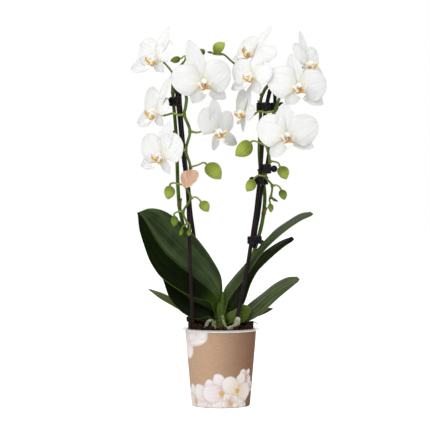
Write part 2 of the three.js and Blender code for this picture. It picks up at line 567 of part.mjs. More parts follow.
// Each spike climbs beside its stake, arches over and hangs down. Twigs are its side
// shoots; pedicels carry the flowers and buds.
const SPIKES = {
  spike_left: {
    climb: [
      [-2, 11, 112], [-8, 17, 126], [-16, 22, 138], [-25.5, 24, 153.5], [-36, 22, 179], [-42, 18.5, 200],
      [-45.5, 16.5, 216], [-47.5, 15, 225.5], [-49.5, 13, 248.5], [-50.5, 12, 277.5], [-51, 11, 299.5],
      [-53, 9, 330], [-55, 8, 353], [-55.5, 6.5, 369], [-53.5, 2, 379], [-49, -4, 382], [-44.5, -8, 376],
    ],
    cascade: [
      [-44.5, -8, 376], [-42.5, -9, 366], [-39.5, -9, 354.5], [-40.5, -9.5, 344], [-42, -10, 335.5],
      [-35.5, -11, 316.5], [-40, -12, 294.5], [-35, -13, 275], [-38, -13.5, 262.5], [-41, -14, 254.5],
      [-34.5, -15, 239.5], [-43, -15.5, 223.5], [-38.5, -16.5, 210.5],
    ],
    twigs: [[[-50.8, -1.6, 379.8], [-46.5, -5, 391], [-41.5, -4.5, 397.5], [-40, -4.5, 403], [-37.5, -5, 408.5]]],
    flowers: [
      ['flower_01', [[-53.5, 2, 379], [-57, 0, 385.5]]],
      ['flower_02', [[-42.5, -9, 366], [-35, -15, 367]]],
      ['flower_03', [[-42, -10, 335.5], [-48, -13.5, 334.5], [-54, -14, 336.5]]],
      ['flower_04', [[-40, -12, 294.5], [-47, -16, 293]]],
      ['flower_05', [[-35.5, -11, 316.5], [-27.5, -14, 314.5], [-19.5, -17, 316.5]]],
    ],
    buds: [
      ['bud_01', [[-40, -4.5, 403], [-43.5, -5, 402]]],
      ['bud_04', [[-35, -13, 275], [-26, -15, 277.5], [-20, -17, 280]]],
      ['bud_05', [[-41, -14, 254.5], [-48, -16, 255.5], [-54, -16.5, 256.8]]],
      ['bud_06', [[-34.5, -15, 239.5], [-28.5, -16, 240.5]]],
      ['bud_07', [[-43, -15.5, 223.5], [-48.5, -16.5, 224]]],
      ['bud_08', [[-38.5, -16.5, 210.5], [-35.5, -19, 208.5]]],
      ['bud_09', [[-38.5, -16.5, 210.5], [-41.5, -17.5, 207.5]]],
    ],
  },
  spike_right: {
    climb: [
      [5, 10, 113], [9, 16, 121.5], [18, 18, 131], [29.5, 14.5, 145], [35, 13.5, 165], [41, 10, 185],
      [45, 8.5, 198.5], [48, 8, 211.5], [50, 8, 225.5], [51, 8, 239.5], [50, 8, 253.5], [46.5, 8, 269.5],
      [45, 7.5, 283.5], [44.5, 6.5, 298.5], [45.5, 5, 320.5], [46, 4, 339], [46.5, 3, 354], [51, 2, 365],
    ],
    cascade: [
      [51, 2, 365], [58, 5, 373], [64, 6, 375.5], [68.5, 4, 371], [69.5, 0, 362], [66.5, -5, 352],
      [62, -9, 339.5], [58, -12.5, 325], [55.5, -13, 313], [53, -13, 299], [56, -13, 282], [51.5, -13, 264],
      [58.5, -14, 254], [57.5, -14, 240.5],
    ],
    twigs: [
      [[47, 3, 357], [42, 4, 365.5], [36, 4, 371.5], [29, 2, 379.5], [20.5, -1, 389.5], [11.5, -4, 397.5],
        [3, -6, 404.5], [-6.5, -7, 406], [-14.5, -7.5, 407]],
      [[57.5, -14, 240.5], [60.5, -14, 238], [64.5, -14, 236]],
    ],
    flowers: [
      ['flower_06', [[36, 4, 371.5], [40, 14, 385]]],
      ['flower_07', [[36, 4, 371.5], [38, -8, 376]]],
      ['flower_08', [[62, -9, 339.5], [52, -11.5, 337.5], [44, -12, 339]]],
      ['flower_09', [[62, 5.2, 374], [72, 10, 384]]],
      ['flower_10', [[69.5, 0, 362], [77, -10, 363]]],
      ['flower_11', [[58, -12.5, 325], [65, -22, 320]]],
    ],
    buds: [
      ['bud_03', [[3, -6, 404.5], [-3, -10, 404]]],
      ['bud_10', [[53, -13, 299], [45, -14.5, 302.5], [38, -15.5, 305]]],
      ['bud_11', [[56, -13, 282], [62, -14.5, 281], [66, -16, 279.5]]],
      ['bud_12', [[51.5, -13, 264], [43.5, -15, 265.5], [39.5, -16.5, 263.5]]],
      ['bud_13', [[58.5, -14, 254], [64.5, -15, 254]]],
      ['bud_14', [[57.5, -14, 240.5], [55.5, -14.5, 236.5]]],
    ],
  },
};

const CLIMB_FACETS = { sides: 6, step: 13 };
const CASCADE_FACETS = { sides: 6, step: 8 };

function spike({ climb, cascade, twigs, flowers, buds }) {
  const pieces = [
    rod(climb, SPIKE_RADIUS, CLIMB_FACETS),
    rod(cascade, CASCADE_RADIUS, CASCADE_FACETS),
    ...twigs.map((route) => rod(route, TWIG_RADIUS, { sides: 5, step: 8 })),
  ];
  for (const [name, via] of flowers) {
    const route = [...via.map(vector), flowerSeat(name, PEDICEL_SEAT + 7), flowerSeat(name, PEDICEL_SEAT)];
    pieces.push(rod(route, PEDICEL_RADIUS, { sides: 5, step: 7 }));
  }
  for (const [name, via] of buds) {
    const route = [...via.map(vector), budSeat(name, 2.5), budSeat(name, 1.5 * CLEARANCE)];
    pieces.push(rod(route, PEDICEL_RADIUS, { sides: 5, step: 5 }));
  }
  return geometryOf(joined(pieces));
}

// ---------------------------------------------------------------- clips and tag

// Each clip is a chain of small sleeves round the stems and stakes that it holds, with a knob
// to pinch it open.
const CLIPS = {
  clip_left_top: { z: 351, height: 8, holds: ['spike_left climb', 'stake_left_front'], knob: [-62.5, 3.5, 351, 4] },
  clip_right_top: {
    z: 344.5, height: 8, holds: ['spike_right climb', 'stake_right_front', 'stake_right_rear'],
    knob: [70, 6, 347.5, 3],
  },
  clip_right_middle: {
    z: 273, height: 9, holds: ['stake_right_rear', 'spike_right cascade'], knob: [61.5, -10, 273, 3.5],
  },
  clip_right_lower: {
    z: 259.5, height: 8, holds: ['stake_right_front', 'stake_right_rear'], knob: [36, -6.5, 260.5, 3.5],
  },
  clip_right_base: {
    z: 191, height: 7, holds: ['stake_right_front', 'stake_right_rear', 'spike_right climb'],
    knob: [47.5, 14, 188, 3],
  },
};
const SLEEVE_PLAY = 0.5;
const SLEEVE_WALL = 1.4;

// The route, radius and facets of a rod that a clip holds.
function heldRod(label) {
  const [owner, line] = label.split(' ');
  if (line === 'climb') return { route: SPIKES[owner].climb, radius: SPIKE_RADIUS, facets: CLIMB_FACETS };
  if (line === 'cascade') return { route: SPIKES[owner].cascade, radius: CASCADE_RADIUS, facets: CASCADE_FACETS };
  return { route: STAKES[owner].route, radius: STAKES[owner].radius, facets: STAKE_FACETS };
}

// Where a rod's centre line passes a given height.
function crossing(route, z) {
  const curve = smoothCurve(route);
  const steps = 400;
  let best = curve.getPoint(0);
  for (let i = 0; i <= steps; i += 1) {
    const point = curve.getPoint(i / steps);
    if (Math.abs(point.z - z) < Math.abs(best.z - z)) best = point;
  }
  return best.setZ(z);
}

function bar(from, to, thickness, height) {
  const geometry = new THREE.BoxGeometry(from.distanceTo(to), thickness, height);
  geometry.rotateZ(Math.atan2(to.y - from.y, to.x - from.x));
  geometry.translate((from.x + to.x) / 2, (from.y + to.y) / 2, (from.z + to.z) / 2);
  return geometry;
}

function clip({ z, height, holds, knob }) {
  const rods = holds.map(heldRod);
  const centres = rods.map(({ route }) => crossing(route, z));
  const sleeves = centres.map((c, i) => (
    disc(rods[i].radius + SLEEVE_PLAY + SLEEVE_WALL, height, 9, c.x, c.y, z)
  ));
  const bars = centres.slice(1).map((c, i) => bar(centres[i], c, 3, height * 0.7));
  const [x, y, level, radius] = knob;
  const grip = new THREE.SphereGeometry(radius, 8, 5);
  grip.translate(x, y, level);
  const centre = new THREE.Vector3(x, y, level);
  const nearest = centres.reduce((a, b) => (a.distanceTo(centre) < b.distanceTo(centre) ? a : b));
  let solid = joined([...sleeves, ...bars, mergedSkin(grip), bar(nearest, centre, 3, 3)]);
  for (const { route, radius: held, facets } of rods) {
    solid = solid.subtract(solidOf(rod(route, held + SLEEVE_PLAY, facets)));
  }
  return geometryOf(largest(solid));
}

// Shell-shaped card tag in front of the left cascade.
function tagClip() {
  const outline = new THREE.Shape();
  outline.moveTo(-8.5, 7.5);
  outline.quadraticCurveTo(-1, 11.5, 8.5, 9);
  outline.quadraticCurveTo(11.5, 5, 8, -1.5);
  outline.quadraticCurveTo(3, -9, -5, -10.5);
  outline.quadraticCurveTo(-7.5, -9.5, -10, -3);
  outline.quadraticCurveTo(-11, 2, -8.5, 7.5);
  const geometry = new THREE.ExtrudeGeometry(outline, { depth: 1.4, bevelEnabled: false, curveSegments: 4 });
  geometry.rotateX(Math.PI / 2);
  geometry.translate(-35.5, -17, 261.5);
  return facingOut(mergedSkin(geometry));
}

// ---------------------------------------------------------------- assembly

add('cover_pot', coverPot(), 'card');
add('nursery_pot', nurseryPot(), 'clear');
add('bark_substrate', barkSubstrate(), 'bark');
add('crown', crown(), 'crown');
for (const [name, spec] of Object.entries(ROOTS)) add(name, root(spec), 'root');
for (const [name, spec] of Object.entries(LEAVES)) {
  add(name, leaf(spec), name.endsWith('young') ? 'youngLeaf' : 'leaf');
}
for (const [name, spec] of Object.entries(STAKES)) {
  const pieces = [stake(spec)];
  if (name === 'stake_right_front') pieces.push(rod(HOOK, HOOK_RADIUS, { sides: 6, step: 3 }));
  add(name, geometryOf(joined(pieces)), 'stake');
}
for (const [name, spec] of Object.entries(SPIKES)) add(name, spike(spec), 'stem');
for (const [name, spec] of Object.entries(CLIPS)) add(name, clip(spec), 'clip');
add('tag_clip', tagClip(), 'tag');
for (const [name, spec] of Object.entries(FLOWERS)) add(name, flower(spec), 'petal');
for (const [name, spec] of Object.entries(BUDS)) add(name, bud(spec), 'bud');

export default group;
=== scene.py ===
# %% [markdown]
# # A potted moth orchid
#
# One plant with two arching flower spikes, tied to slim stakes with black clips. It grows in
# bark, in a clear nursery pot that hangs by its flange in a printed card cover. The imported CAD
# model gives the place and size of every piece; this lesson gives each piece its living shape
# and finish. Lengths in the tables are millimetres and become metres when a mesh is made.
# +Z is up, +X is to the right and -Y is the front, the side the flowers look at.

# %% Loading the frame
import math
import random

import bpy
import numpy as np
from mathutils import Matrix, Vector


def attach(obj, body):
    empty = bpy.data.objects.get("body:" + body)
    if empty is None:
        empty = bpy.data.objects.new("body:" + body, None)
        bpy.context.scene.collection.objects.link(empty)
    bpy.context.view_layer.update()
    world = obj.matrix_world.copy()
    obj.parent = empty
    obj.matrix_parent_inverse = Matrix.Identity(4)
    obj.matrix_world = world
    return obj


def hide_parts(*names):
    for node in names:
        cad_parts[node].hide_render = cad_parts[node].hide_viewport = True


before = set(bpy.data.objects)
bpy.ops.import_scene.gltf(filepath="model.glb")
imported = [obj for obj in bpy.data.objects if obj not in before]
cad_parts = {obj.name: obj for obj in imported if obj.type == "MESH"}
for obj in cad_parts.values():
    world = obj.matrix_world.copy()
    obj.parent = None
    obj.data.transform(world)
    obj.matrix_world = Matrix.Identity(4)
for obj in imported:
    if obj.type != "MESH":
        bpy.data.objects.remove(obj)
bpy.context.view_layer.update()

MM = 0.001

# %% [markdown]
# ## Mesh tools
#
# Almost everything on a plant is a skin stretched over a row of rings: a stem is a row of round
# rings, a leaf or a petal a row of very flat ones. So one builder is enough. It keeps points,
# faces and a UV place for every face corner, because a ring closes on itself and its first and
# last corner need different places on the map.

# %% The shape builder
class Shape:
    """Points, faces, UV places and finish numbers, gathered skin by skin, in millimetres."""

    def __init__(self):
        self.points, self.faces, self.places, self.finishes = [], [], [], []

    def skin(self, rings, places, finish=0, ends=True):
        """Rings is n by m points, each ring closed on itself. Places is n by m+1 UV pairs."""
        rings = np.asarray(rings, float)
        places = np.asarray(places, float)
        n, m = rings.shape[:2]
        start = len(self.points)
        self.points.extend(rings.reshape(-1, 3).tolist())
        for i in range(n - 1):
            for j in range(m):
                k = (j + 1) % m
                a, b = start + i * m, start + (i + 1) * m
                self.faces.append((a + j, a + k, b + k, b + j))
                self.places.append((places[i, j], places[i, j + 1], places[i + 1, j + 1], places[i + 1, j]))
                self.finishes.append(finish)
        if ends:
            self.cap(rings[0], places[0], start, finish, first=True)
            self.cap(rings[-1], places[-1], start + (n - 1) * m, finish, first=False)

    def cap(self, ring, places, start, finish, first):
        """Closes an end with a fan to the ring's middle."""
        m = len(ring)
        middle = len(self.points)
        self.points.append(ring.mean(0).tolist())
        centre = places.mean(0)
        for j in range(m):
            k = (j + 1) % m
            corners = (start + k, start + j, middle) if first else (start + j, start + k, middle)
            here = (places[j + 1], places[j], centre) if first else (places[j], places[j + 1], centre)
            self.faces.append(corners)
            self.places.append(here)
            self.finishes.append(finish)

    def moved(self, start, matrix, origin):
        """Turns the points added since start by a matrix whose columns are the new axes, and moves them."""
        block = np.array(self.points[start:]) @ np.array(matrix).T + np.array(origin)
        self.points[start:] = block.tolist()


def make_piece(name, shape, materials, slot, *nodes, sharp=None):
    """Makes the Blender object of one piece, in metres, and ties it to the frame."""
    mesh = bpy.data.meshes.new(name)
    mesh.from_pydata((np.array(shape.points) * MM).tolist(), [], shape.faces)
    uv = mesh.uv_layers.new(name="Surface")
    uv.data.foreach_set("uv", np.array([c for face in shape.places for c in face], np.float32).ravel())
    for material in materials:
        mesh.materials.append(material)
    mesh.polygons.foreach_set("material_index", np.array(shape.finishes, np.int32))
    mesh.polygons.foreach_set("use_smooth", np.ones(len(shape.faces), bool))
    mesh.validate()
    mesh.update()
    if sharp is not None:
        mesh.set_sharp_from_angle(angle=math.radians(sharp))
    piece = bpy.data.objects.new(name, mesh)
    bpy.context.scene.collection.objects.link(piece)
    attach(piece, "root")
    if nodes:
        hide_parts(*nodes)
    print(f"{name}: {len(mesh.vertices)} points, {len(mesh.polygons)} faces")
    return piece

# %% [markdown]
# Stems, roots, stakes and wires are all drawn as smooth curves through a few points. The
# centripetal kind of curve is used because it never loops or overshoots between points that
# are unevenly spaced. A tube then follows the curve: its frame is carried along from ring to
# ring without twisting, so ribs and grain stay straight.

# %% Curves and tubes
def smooth_curve(points, step=None, count=None):
    """Points evenly spaced along a centripetal Catmull-Rom curve."""
    knots = np.array(points, float)
    padded = np.vstack([2 * knots[0] - knots[1], knots, 2 * knots[-1] - knots[-2]])
    fine = []
    for i in range(len(knots) - 1):
        p0, p1, p2, p3 = padded[i:i + 4]
        d0, d1, d2 = (max(np.linalg.norm(b - a), 1e-6) ** 0.5 for a, b in ((p0, p1), (p1, p2), (p2, p3)))
        m1 = ((p1 - p0) / d0 - (p2 - p0) / (d0 + d1) + (p2 - p1) / d1) * d1
        m2 = ((p2 - p1) / d1 - (p3 - p1) / (d1 + d2) + (p3 - p2) / d2) * d1
        for w in np.linspace(0, 1, 24, endpoint=False):
            fine.append((2 * w**3 - 3 * w**2 + 1) * p1 + (w**3 - 2 * w**2 + w) * m1
                        + (3 * w**2 - 2 * w**3) * p2 + (w**3 - w**2) * m2)
    fine.append(knots[-1])
    fine = np.array(fine)
    run = np.concatenate([[0], np.cumsum(np.linalg.norm(np.diff(fine, axis=0), axis=1))])
    if count is None:
        count = max(4, int(round(run[-1] / step)) + 1)
    at = np.linspace(0, run[-1], count)
    return np.stack([np.interp(at, run, fine[:, k]) for k in range(3)], axis=1)


def unit(v):
    v = np.asarray(v, float)
    return v / np.maximum(np.linalg.norm(v, axis=-1, keepdims=True), 1e-9)


def carried_axes(line, hint=(0.0, -1.0, 0.0)):
    """Along, side and up directions at each point of a line, carried along without twist."""
    along = unit(np.gradient(line, axis=0))
    if abs(np.dot(along[0], hint)) >= 0.95:
        hint = (1, 0, 0)
    side = unit(np.cross(along[0], hint))
    sides = []
    for direction in along:
        side = unit(side - direction * np.dot(side, direction))
        sides.append(side)
    sides = np.array(sides)
    return along, sides, np.cross(along, sides)


def tube(shape, line, radius, sides=12, finish=0, round_ends=True, rib=None):
    """A round tube along a line. Radius is one number or one for each point; rib(angle, part) scales it."""
    line = np.array(line, float)
    n = len(line)
    radius = np.broadcast_to(np.asarray(radius, float), (n,)).copy()
    along, side, up = carried_axes(line)
    run = np.concatenate([[0], np.cumsum(np.linalg.norm(np.diff(line, axis=0), axis=1))])
    if round_ends:
        lead = [0.95, 0.75, 0.4]
        first = [(line[0] - along[0] * radius[0] * k * 0.8, side[0], up[0], radius[0] * math.sqrt(1 - k * k),
                  0.0) for k in lead]
        last = [(line[-1] + along[-1] * radius[-1] * k * 0.8, side[-1], up[-1],
                 radius[-1] * math.sqrt(1 - k * k), run[-1]) for k in reversed(lead)]
        body = [(line[i], side[i], up[i], radius[i], run[i]) for i in range(n)]
        stations = first + body + last
    else:
        stations = [(line[i], side[i], up[i], radius[i], run[i]) for i in range(n)]
    angle = np.linspace(0, 2 * math.pi, sides, endpoint=False)
    rings, places = [], []
    for at, s, u, r, length in stations:
        scale = np.ones(sides) if rib is None else rib(angle, length / run[-1])
        rings.append(at + (np.cos(angle)[:, None] * s + np.sin(angle)[:, None] * u) * (r * scale)[:, None])
        places.append([(length / run[-1], j / sides) for j in range(sides + 1)])
    shape.skin(rings, places, finish)


def lathe(shape, profile, segments, finish=0, centre=(0.0, 0.0), ends=False, wobble=None):
    """A turned shape from (radius, height) pairs; its map is the height and the way round."""
    angle = np.linspace(0, 2 * math.pi, segments, endpoint=False) - math.pi / 2
    rings, places = [], []
    for radius, height in profile:
        r = radius + (wobble(angle, height) if wobble else 0)
        rings.append(np.stack([centre[0] + r * np.cos(angle), centre[1] + r * np.sin(angle),
                               np.full(segments, float(height))], axis=1))
        places.append([(j / segments, height * MM) for j in range(segments + 1)])
    shape.skin(rings, places, finish, ends=ends)

# %% [markdown]
# ## Shader tools
#
# A finish is a sum of small ideas: a vein here, a speck there, a paler rim. Writing them as
# arithmetic keeps them readable, so one class wraps a socket and lets +, - and * add the
# Math nodes. Colours go through Mix nodes and coordinates through Vector Math, because a Math
# node would turn them grey. A material holds its own tree and one method that adds any node.

# %% Signals and finishes
class Signal:
    """One output socket of a finish; arithmetic on it adds Math nodes."""

    def __init__(self, finish, socket):
        self.finish, self.socket = finish, socket

    def maths(self, operation, *values, clamp=False):
        settings = {"operation": operation, "use_clamp": clamp}
        return self.finish.node("ShaderNodeMath", settings, dict(enumerate(values)))

    def __add__(self, other): return self.maths("ADD", self, other)
    def __radd__(self, other): return self.maths("ADD", other, self)
    def __sub__(self, other): return self.maths("SUBTRACT", self, other)
    def __rsub__(self, other): return self.maths("SUBTRACT", other, self)
    def __mul__(self, other): return self.maths("MULTIPLY", self, other)
    def __rmul__(self, other): return self.maths("MULTIPLY", other, self)
    def __abs__(self): return self.maths("ABSOLUTE", self)
    def sine(self): return self.maths("SINE", self)
    def clamped(self): return self.maths("ADD", self, 0.0, clamp=True)
    def bigger(self, other): return self.maths("MAXIMUM", self, other)

    def step(self, low, high):
        """0 below low, 1 above high and smooth between; low may be the larger number."""
        settings = {"interpolation_type": "SMOOTHSTEP"}
        if low < high:
            return self.finish.node("ShaderNodeMapRange", settings,
                                    {"Value": self, "From Min": low, "From Max": high})
        return 1.0 - self.finish.node("ShaderNodeMapRange", settings,
                                      {"Value": self, "From Min": high, "From Max": low})


class Finish:
    """A material that is being mixed: a Principled shader and the nodes that feed it."""

    def __init__(self, name, **values):
        self.material = bpy.data.materials.new(name)
        self.material.use_nodes = True
        self.tree = self.material.node_tree
        self.shader = self.tree.nodes["Principled BSDF"]
        for socket, value in values.items():
            self.shader.inputs[socket.replace("_", " ")].default_value = value

    def node(self, kind, settings=None, values=None, output=0):
        """Adds a node: its settings are set first, then the values or links of its sockets."""
        node = self.tree.nodes.new(kind)
        for key, value in (settings or {}).items():
            if key == "stops":
                self.set_stops(node.color_ramp, value)
            else:
                setattr(node, key, value)
        for key, value in (values or {}).items():
            self.plug(node.inputs[key], value)
        return Signal(self, node.outputs[output])

    def set_stops(self, ramp, stops):
        while len(ramp.elements) < len(stops):
            ramp.elements.new(0.5)
        for element, (place, colour) in zip(ramp.elements, stops):
            element.position = place
            element.color = (*colour, 1.0)

    def plug(self, socket, value):
        if isinstance(value, Signal):
            self.tree.links.new(value.socket, socket)
        elif hasattr(socket.default_value, "__len__") and len(socket.default_value) == 4 and len(value) == 3:
            socket.default_value = (*value, 1.0)
        else:
            socket.default_value = value

    def blend(self, amount, first, second):
        """A colour between first and second; amount 0 gives first."""
        settings = {"data_type": "RGBA", "blend_type": "MIX"}
        return self.node("ShaderNodeMix", settings, {0: amount, 6: first, 7: second}, output=2)

    def place(self):
        """The piece's own coordinates, in metres."""
        return self.node("ShaderNodeTexCoord", output="Object")

    def surface(self):
        """The two numbers of the piece's own map."""
        pair = self.node("ShaderNodeUVMap", {"uv_map": "Surface"})
        u = self.node("ShaderNodeSeparateXYZ", values={0: pair}, output=0)
        return u, Signal(self, u.socket.node.outputs[1])

    def noise(self, where, scale, detail=3.0, rough=0.5, warp=0.0):
        values = {"Vector": where, "Scale": scale, "Detail": detail, "Roughness": rough, "Distortion": warp}
        return self.node("ShaderNodeTexNoise", values=values)

    def stretched(self, where, scale):
        return self.node("ShaderNodeVectorMath", {"operation": "MULTIPLY"}, {0: where, 1: scale})

    def bump(self, height, strength, distance):
        values = {"Height": height, "Strength": strength, "Distance": distance}
        self.feed("Normal", self.node("ShaderNodeBump", values=values))

    def feed(self, socket, value):
        self.plug(self.shader.inputs[socket], value)


# %% [markdown]
# ## The printed card cover
#
# The cover is a cone of brown kraft card with a white cut edge, a pressed-in floor and a glued
# lap down its back. A lathe gives the cone; a small inward step over a narrow strip gives the
# lap. The wall keeps the CAD piece's own radii, so the pot still fits inside it.

# %% Card cover shape
COVER_TOP, COVER_BASE, COVER_HEIGHT = 41.2, 33.8, 87.8
CARD_WALL = 1.0
CARD_MIDDLE = 37.5  # radius at mid height
AROUND = 236.0  # way round the card there


def card_lap(angle, height):
    """The glued lap: the card is 0.35 mm lower over a narrow strip at the back."""
    away = np.abs((angle - math.pi / 2 + math.pi) % (2 * math.pi) - math.pi)
    return -0.35 * (1 - np.clip((away - 0.16) / 0.012, 0, 1)) if 3 < height < 87 else 0.0


def cover_wall(height):
    return COVER_BASE + (COVER_TOP - COVER_BASE) * (height - 2.5) / (COVER_HEIGHT - 2.5)


card = Shape()
outside = [(0.01, 0.4), (28.0, 0.4), (31.0, 0.4), (31.6, 0.3), (31.8, 0.1), (32.2, 0.0), (32.9, 0.15),
           (33.4, 0.8), (33.7, 1.7)]
outside += [(cover_wall(z), z) for z in np.linspace(2.5, 87.2, 116)]
outside += [(COVER_TOP - 0.12, 87.65), (COVER_TOP - 0.4, 87.8), (COVER_TOP - 0.75, 87.7),
            (COVER_TOP - CARD_WALL, 87.3)]
inside = [(cover_wall(z) - CARD_WALL, z) for z in np.linspace(87.0, 2.0, 12)] + [(31.5, 1.5), (0.01, 1.5)]
turned = outside + inside


def lathe_from_back(shape, profile, segments, finish=0, wobble=None):
    """A lathe whose map starts at the back, so that its seam stays out of sight."""
    angle = np.linspace(0, 2 * math.pi, segments, endpoint=False) + math.pi / 2
    rings, places = [], []
    for radius, height in profile:
        r = radius + (wobble(angle, height) if wobble and radius > 30 else 0) + np.zeros(segments)
        rings.append(np.stack([r * np.cos(angle), r * np.sin(angle), np.full(segments, float(height))],
                              axis=1))
        places.append([(j / segments, height / 100) for j in range(segments + 1)])
    shape.skin(rings, places, finish, ends=True)


lathe_from_back(card, turned, 360, wobble=card_lap)

# %% [markdown]
# The print is a band of big pale blooms round the foot and a few more by the rim, on bare brown
# card. The blooms are worked out by formula at every point of the mesh and kept as a colour
# attribute, which the shader reads; a tree of nodes could do it too, but a hundred petals would
# make it far too long to read. Each printed petal is an ellipse in the card's own flat map: its
# distance from the petal's middle gives the outline, the shading and the shadow that it throws
# on the petals below.

# %% Printed blooms
def shade(red, green, blue):
    """A colour as it looks on a screen, from 0 to 255, turned into light."""
    def light(c):
        c = c / 255
        return c / 12.92 if c <= 0.04045 else ((c + 0.055) / 1.055) ** 2.4
    return (light(red), light(green), light(blue))


def soft_step(x, low, high):
    k = np.clip((x - low) / (high - low), 0, 1)
    return k * k * (3 - 2 * k)


PRINTED_BLOOMS = [
    ((-90, 8), 30, 20, "lilac"), ((-64, -6), 28, -30, "cream"), ((112, 8), 30, 10, "lilac"),
    ((84, 0), 27, 40, "cream"), ((-112, 84), 27, 15, "lilac"), ((74, 86), 22, -20, "cream"),
    ((33, 34), 12, 35, "rose"), ((42, 22), 9, -30, "rose"), ((-53, -3), 25, 8, "lilac"),
    ((-26, -3), 22, 50, "lilac"),
    ((28, 7), 11, 62, "rose"), ((2, -2), 22, 30, "cream"), ((-37, 7), 21, -20, "lilac"),
    ((-17, 12), 22, 12, "lilac"),
    ((1, 17), 24, -14, "lilac"), ((21, 20), 22, 20, "cream"), ((12, 6), 11, -25, "rose"),
    ((23, 1), 8, 10, "cream"),
    ((-51, 90), 37, 24, "lilac"), ((-30, 92), 18, -8, "lilac"),
]
PRINT_TINTS = {"lilac": shade(236, 218, 214), "cream": shade(238, 222, 192), "rose": shade(214, 166, 142)}
PRINT_WHITE = np.array(shade(250, 245, 244))
PRINTED_PETALS = [(0, 0.92, 0.52), (142, 0.9, 0.5), (-142, 0.9, 0.5), (76, 0.95, 0.74), (-76, 0.95, 0.74)]


def printed_ink(way, height):
    """Ink colour and cover at points of the flat card, in millimetres."""
    ink, cover = np.zeros((len(way), 3)) + PRINT_WHITE, np.zeros(len(way))
    for number, (at, size, turn, tint) in enumerate(PRINTED_BLOOMS):
        for angle, reach, width in PRINTED_PETALS:
            a = math.radians(angle + turn)
            x = way - at[0] - math.sin(a) * size * reach * 0.52
            y = height - at[1] - math.cos(a) * size * reach * 0.52
            p = (x * math.cos(a) - y * math.sin(a)) / (size * width * 0.62)
            q = (x * math.sin(a) + y * math.cos(a)) / (size * reach * 0.56)
            far = np.hypot(p, q) * (1 + 0.025 * np.sin(5 * np.arctan2(q, p) + number))
            mask = soft_step(far, 1.0, 0.95)
            vein = 0.5 + 0.5 * np.sin(p * 16 + 2.5 * np.sin(2 * q + number) + 0.8 * q * p * 8)
            tone = np.clip(0.45 - 0.6 * q, 0, 1)[:, None] * 0.9
            colour = PRINT_WHITE * (1 - tone) + np.array(PRINT_TINTS[tint]) * tone
            veined = 1 - 0.10 * vein * (0.3 + 0.7 * far)
            edged = 1 - 0.13 * soft_step(far, 0.78, 1.0)
            colour = colour * veined[:, None] * edged[:, None]
            shadow = 0.11 * soft_step(far, 1.2, 1.0) * (1 - mask)
            ink = ink * (1 - shadow)[:, None]
            ink = ink * (1 - mask)[:, None] + colour * mask[:, None]
            cover = np.maximum(cover, mask)
        near = np.hypot(way - at[0], height - at[1]) / size
        heart = soft_step(near, 0.2, 0.08)[:, None] * 0.85
        ink = ink * (1 - heart) + np.array(shade(226, 172, 74)) * heart
    return ink, cover


def add_print(piece):
    """Keeps the print on the piece as a colour attribute: ink in its colour, cover in its alpha."""
    mesh = piece.data
    spot = np.empty(len(mesh.vertices) * 3)
    mesh.vertices.foreach_get("co", spot)
    spot = spot.reshape(-1, 3) / MM
    way = np.arctan2(spot[:, 0], -spot[:, 1]) * CARD_MIDDLE
    ink, cover = printed_ink(way, spot[:, 2])
    card_skin = COVER_BASE + (COVER_TOP - COVER_BASE) * spot[:, 2] / COVER_HEIGHT
    outside = np.hypot(spot[:, 0], spot[:, 1]) > card_skin - 0.6
    layer = mesh.attributes.new("print", "FLOAT_COLOR", "POINT")
    layer.data.foreach_set("color", np.column_stack([ink, cover * outside]).astype(np.float32).ravel())
    print("printed card:", round(float((cover * outside).mean()), 2), "of the points carry ink")

# %% [markdown]
# The bare card is kraft: brown, with pale and dark fibres that lie mostly round the pot. Towards one side it
# turns a deeper, redder brown, partly as print tone and partly as painted shade, and its cut top edge is
# white.

# %% Card finish
KRAFT, KRAFT_DEEP = shade(202, 168, 140), shade(112, 66, 40)

card_finish = Finish("printed_kraft_card", Roughness=0.72, Specular_IOR_Level=0.3)
u, v = card_finish.surface()
flat = card_finish.node("ShaderNodeCombineXYZ", values={0: (u - 0.5) * AROUND, 1: v * 100.0, 2: 0.0})
fibres = card_finish.noise(card_finish.stretched(flat, (0.12, 2.6, 1.0)), 1.0, 4, 0.65)
flecks = card_finish.noise(flat, 1.7, 3, 0.6)
clouds = card_finish.noise(flat, 0.05, 2, 0.5)
away = (u - 0.5) * AROUND
# a deeper, redder brown towards one side of the front: partly print tone, partly painted shade
shaded_side_and_print = away.step(-22.0, 48.0) * (1.0 - away.step(70.0, 105.0))
paper = card_finish.blend(shaded_side_and_print, KRAFT, KRAFT_DEEP)
paper = card_finish.blend(fibres.step(0.42, 0.68) * 0.3, paper, shade(150, 112, 84))
paper = card_finish.blend(fibres.step(0.5, 0.34) * 0.22, paper, shade(222, 190, 160))
paper = card_finish.blend(flecks.step(0.62, 0.72) * 0.25, paper, shade(226, 200, 176))
paper = card_finish.blend(clouds * 0.25, paper, shade(186, 150, 121))
inked = card_finish.node("ShaderNodeAttribute", {"attribute_name": "print"}, output=0)
cover = Signal(card_finish, inked.socket.node.outputs["Alpha"])
ink = card_finish.blend((fibres - 0.5).clamped() * 0.25, inked, shade(205, 190, 186))
paper = card_finish.blend(cover, paper, ink)
paper = card_finish.blend(v.step(0.866, 0.869), paper, shade(243, 238, 230))
card_finish.feed("Base Color", paper)
card_finish.feed("Roughness", 0.66 + fibres * 0.2)
card_finish.bump(fibres * 0.6 + flecks * 0.4, 0.25, 0.0002)

cover_piece = make_piece("card_cover", card, [card_finish.material], "printed_card", "cover_pot", sharp=50)
add_print(cover_piece)

# %% [markdown]
# ## The clear nursery pot
#
# A thin, slightly milky pot formed in one piece, with a flat flange that rests on the card and a
# short skirt at its edge. Turning the whole section on a lathe gives the wall, the floor and the
# rounded flange together; the drain holes are cut from the floor afterwards.

# %% Nursery pot shape
FLANGE_UNDER, FLANGE_TOP = 88.2, 89.5
MOUTH = COVER_TOP - CARD_WALL - 0.4

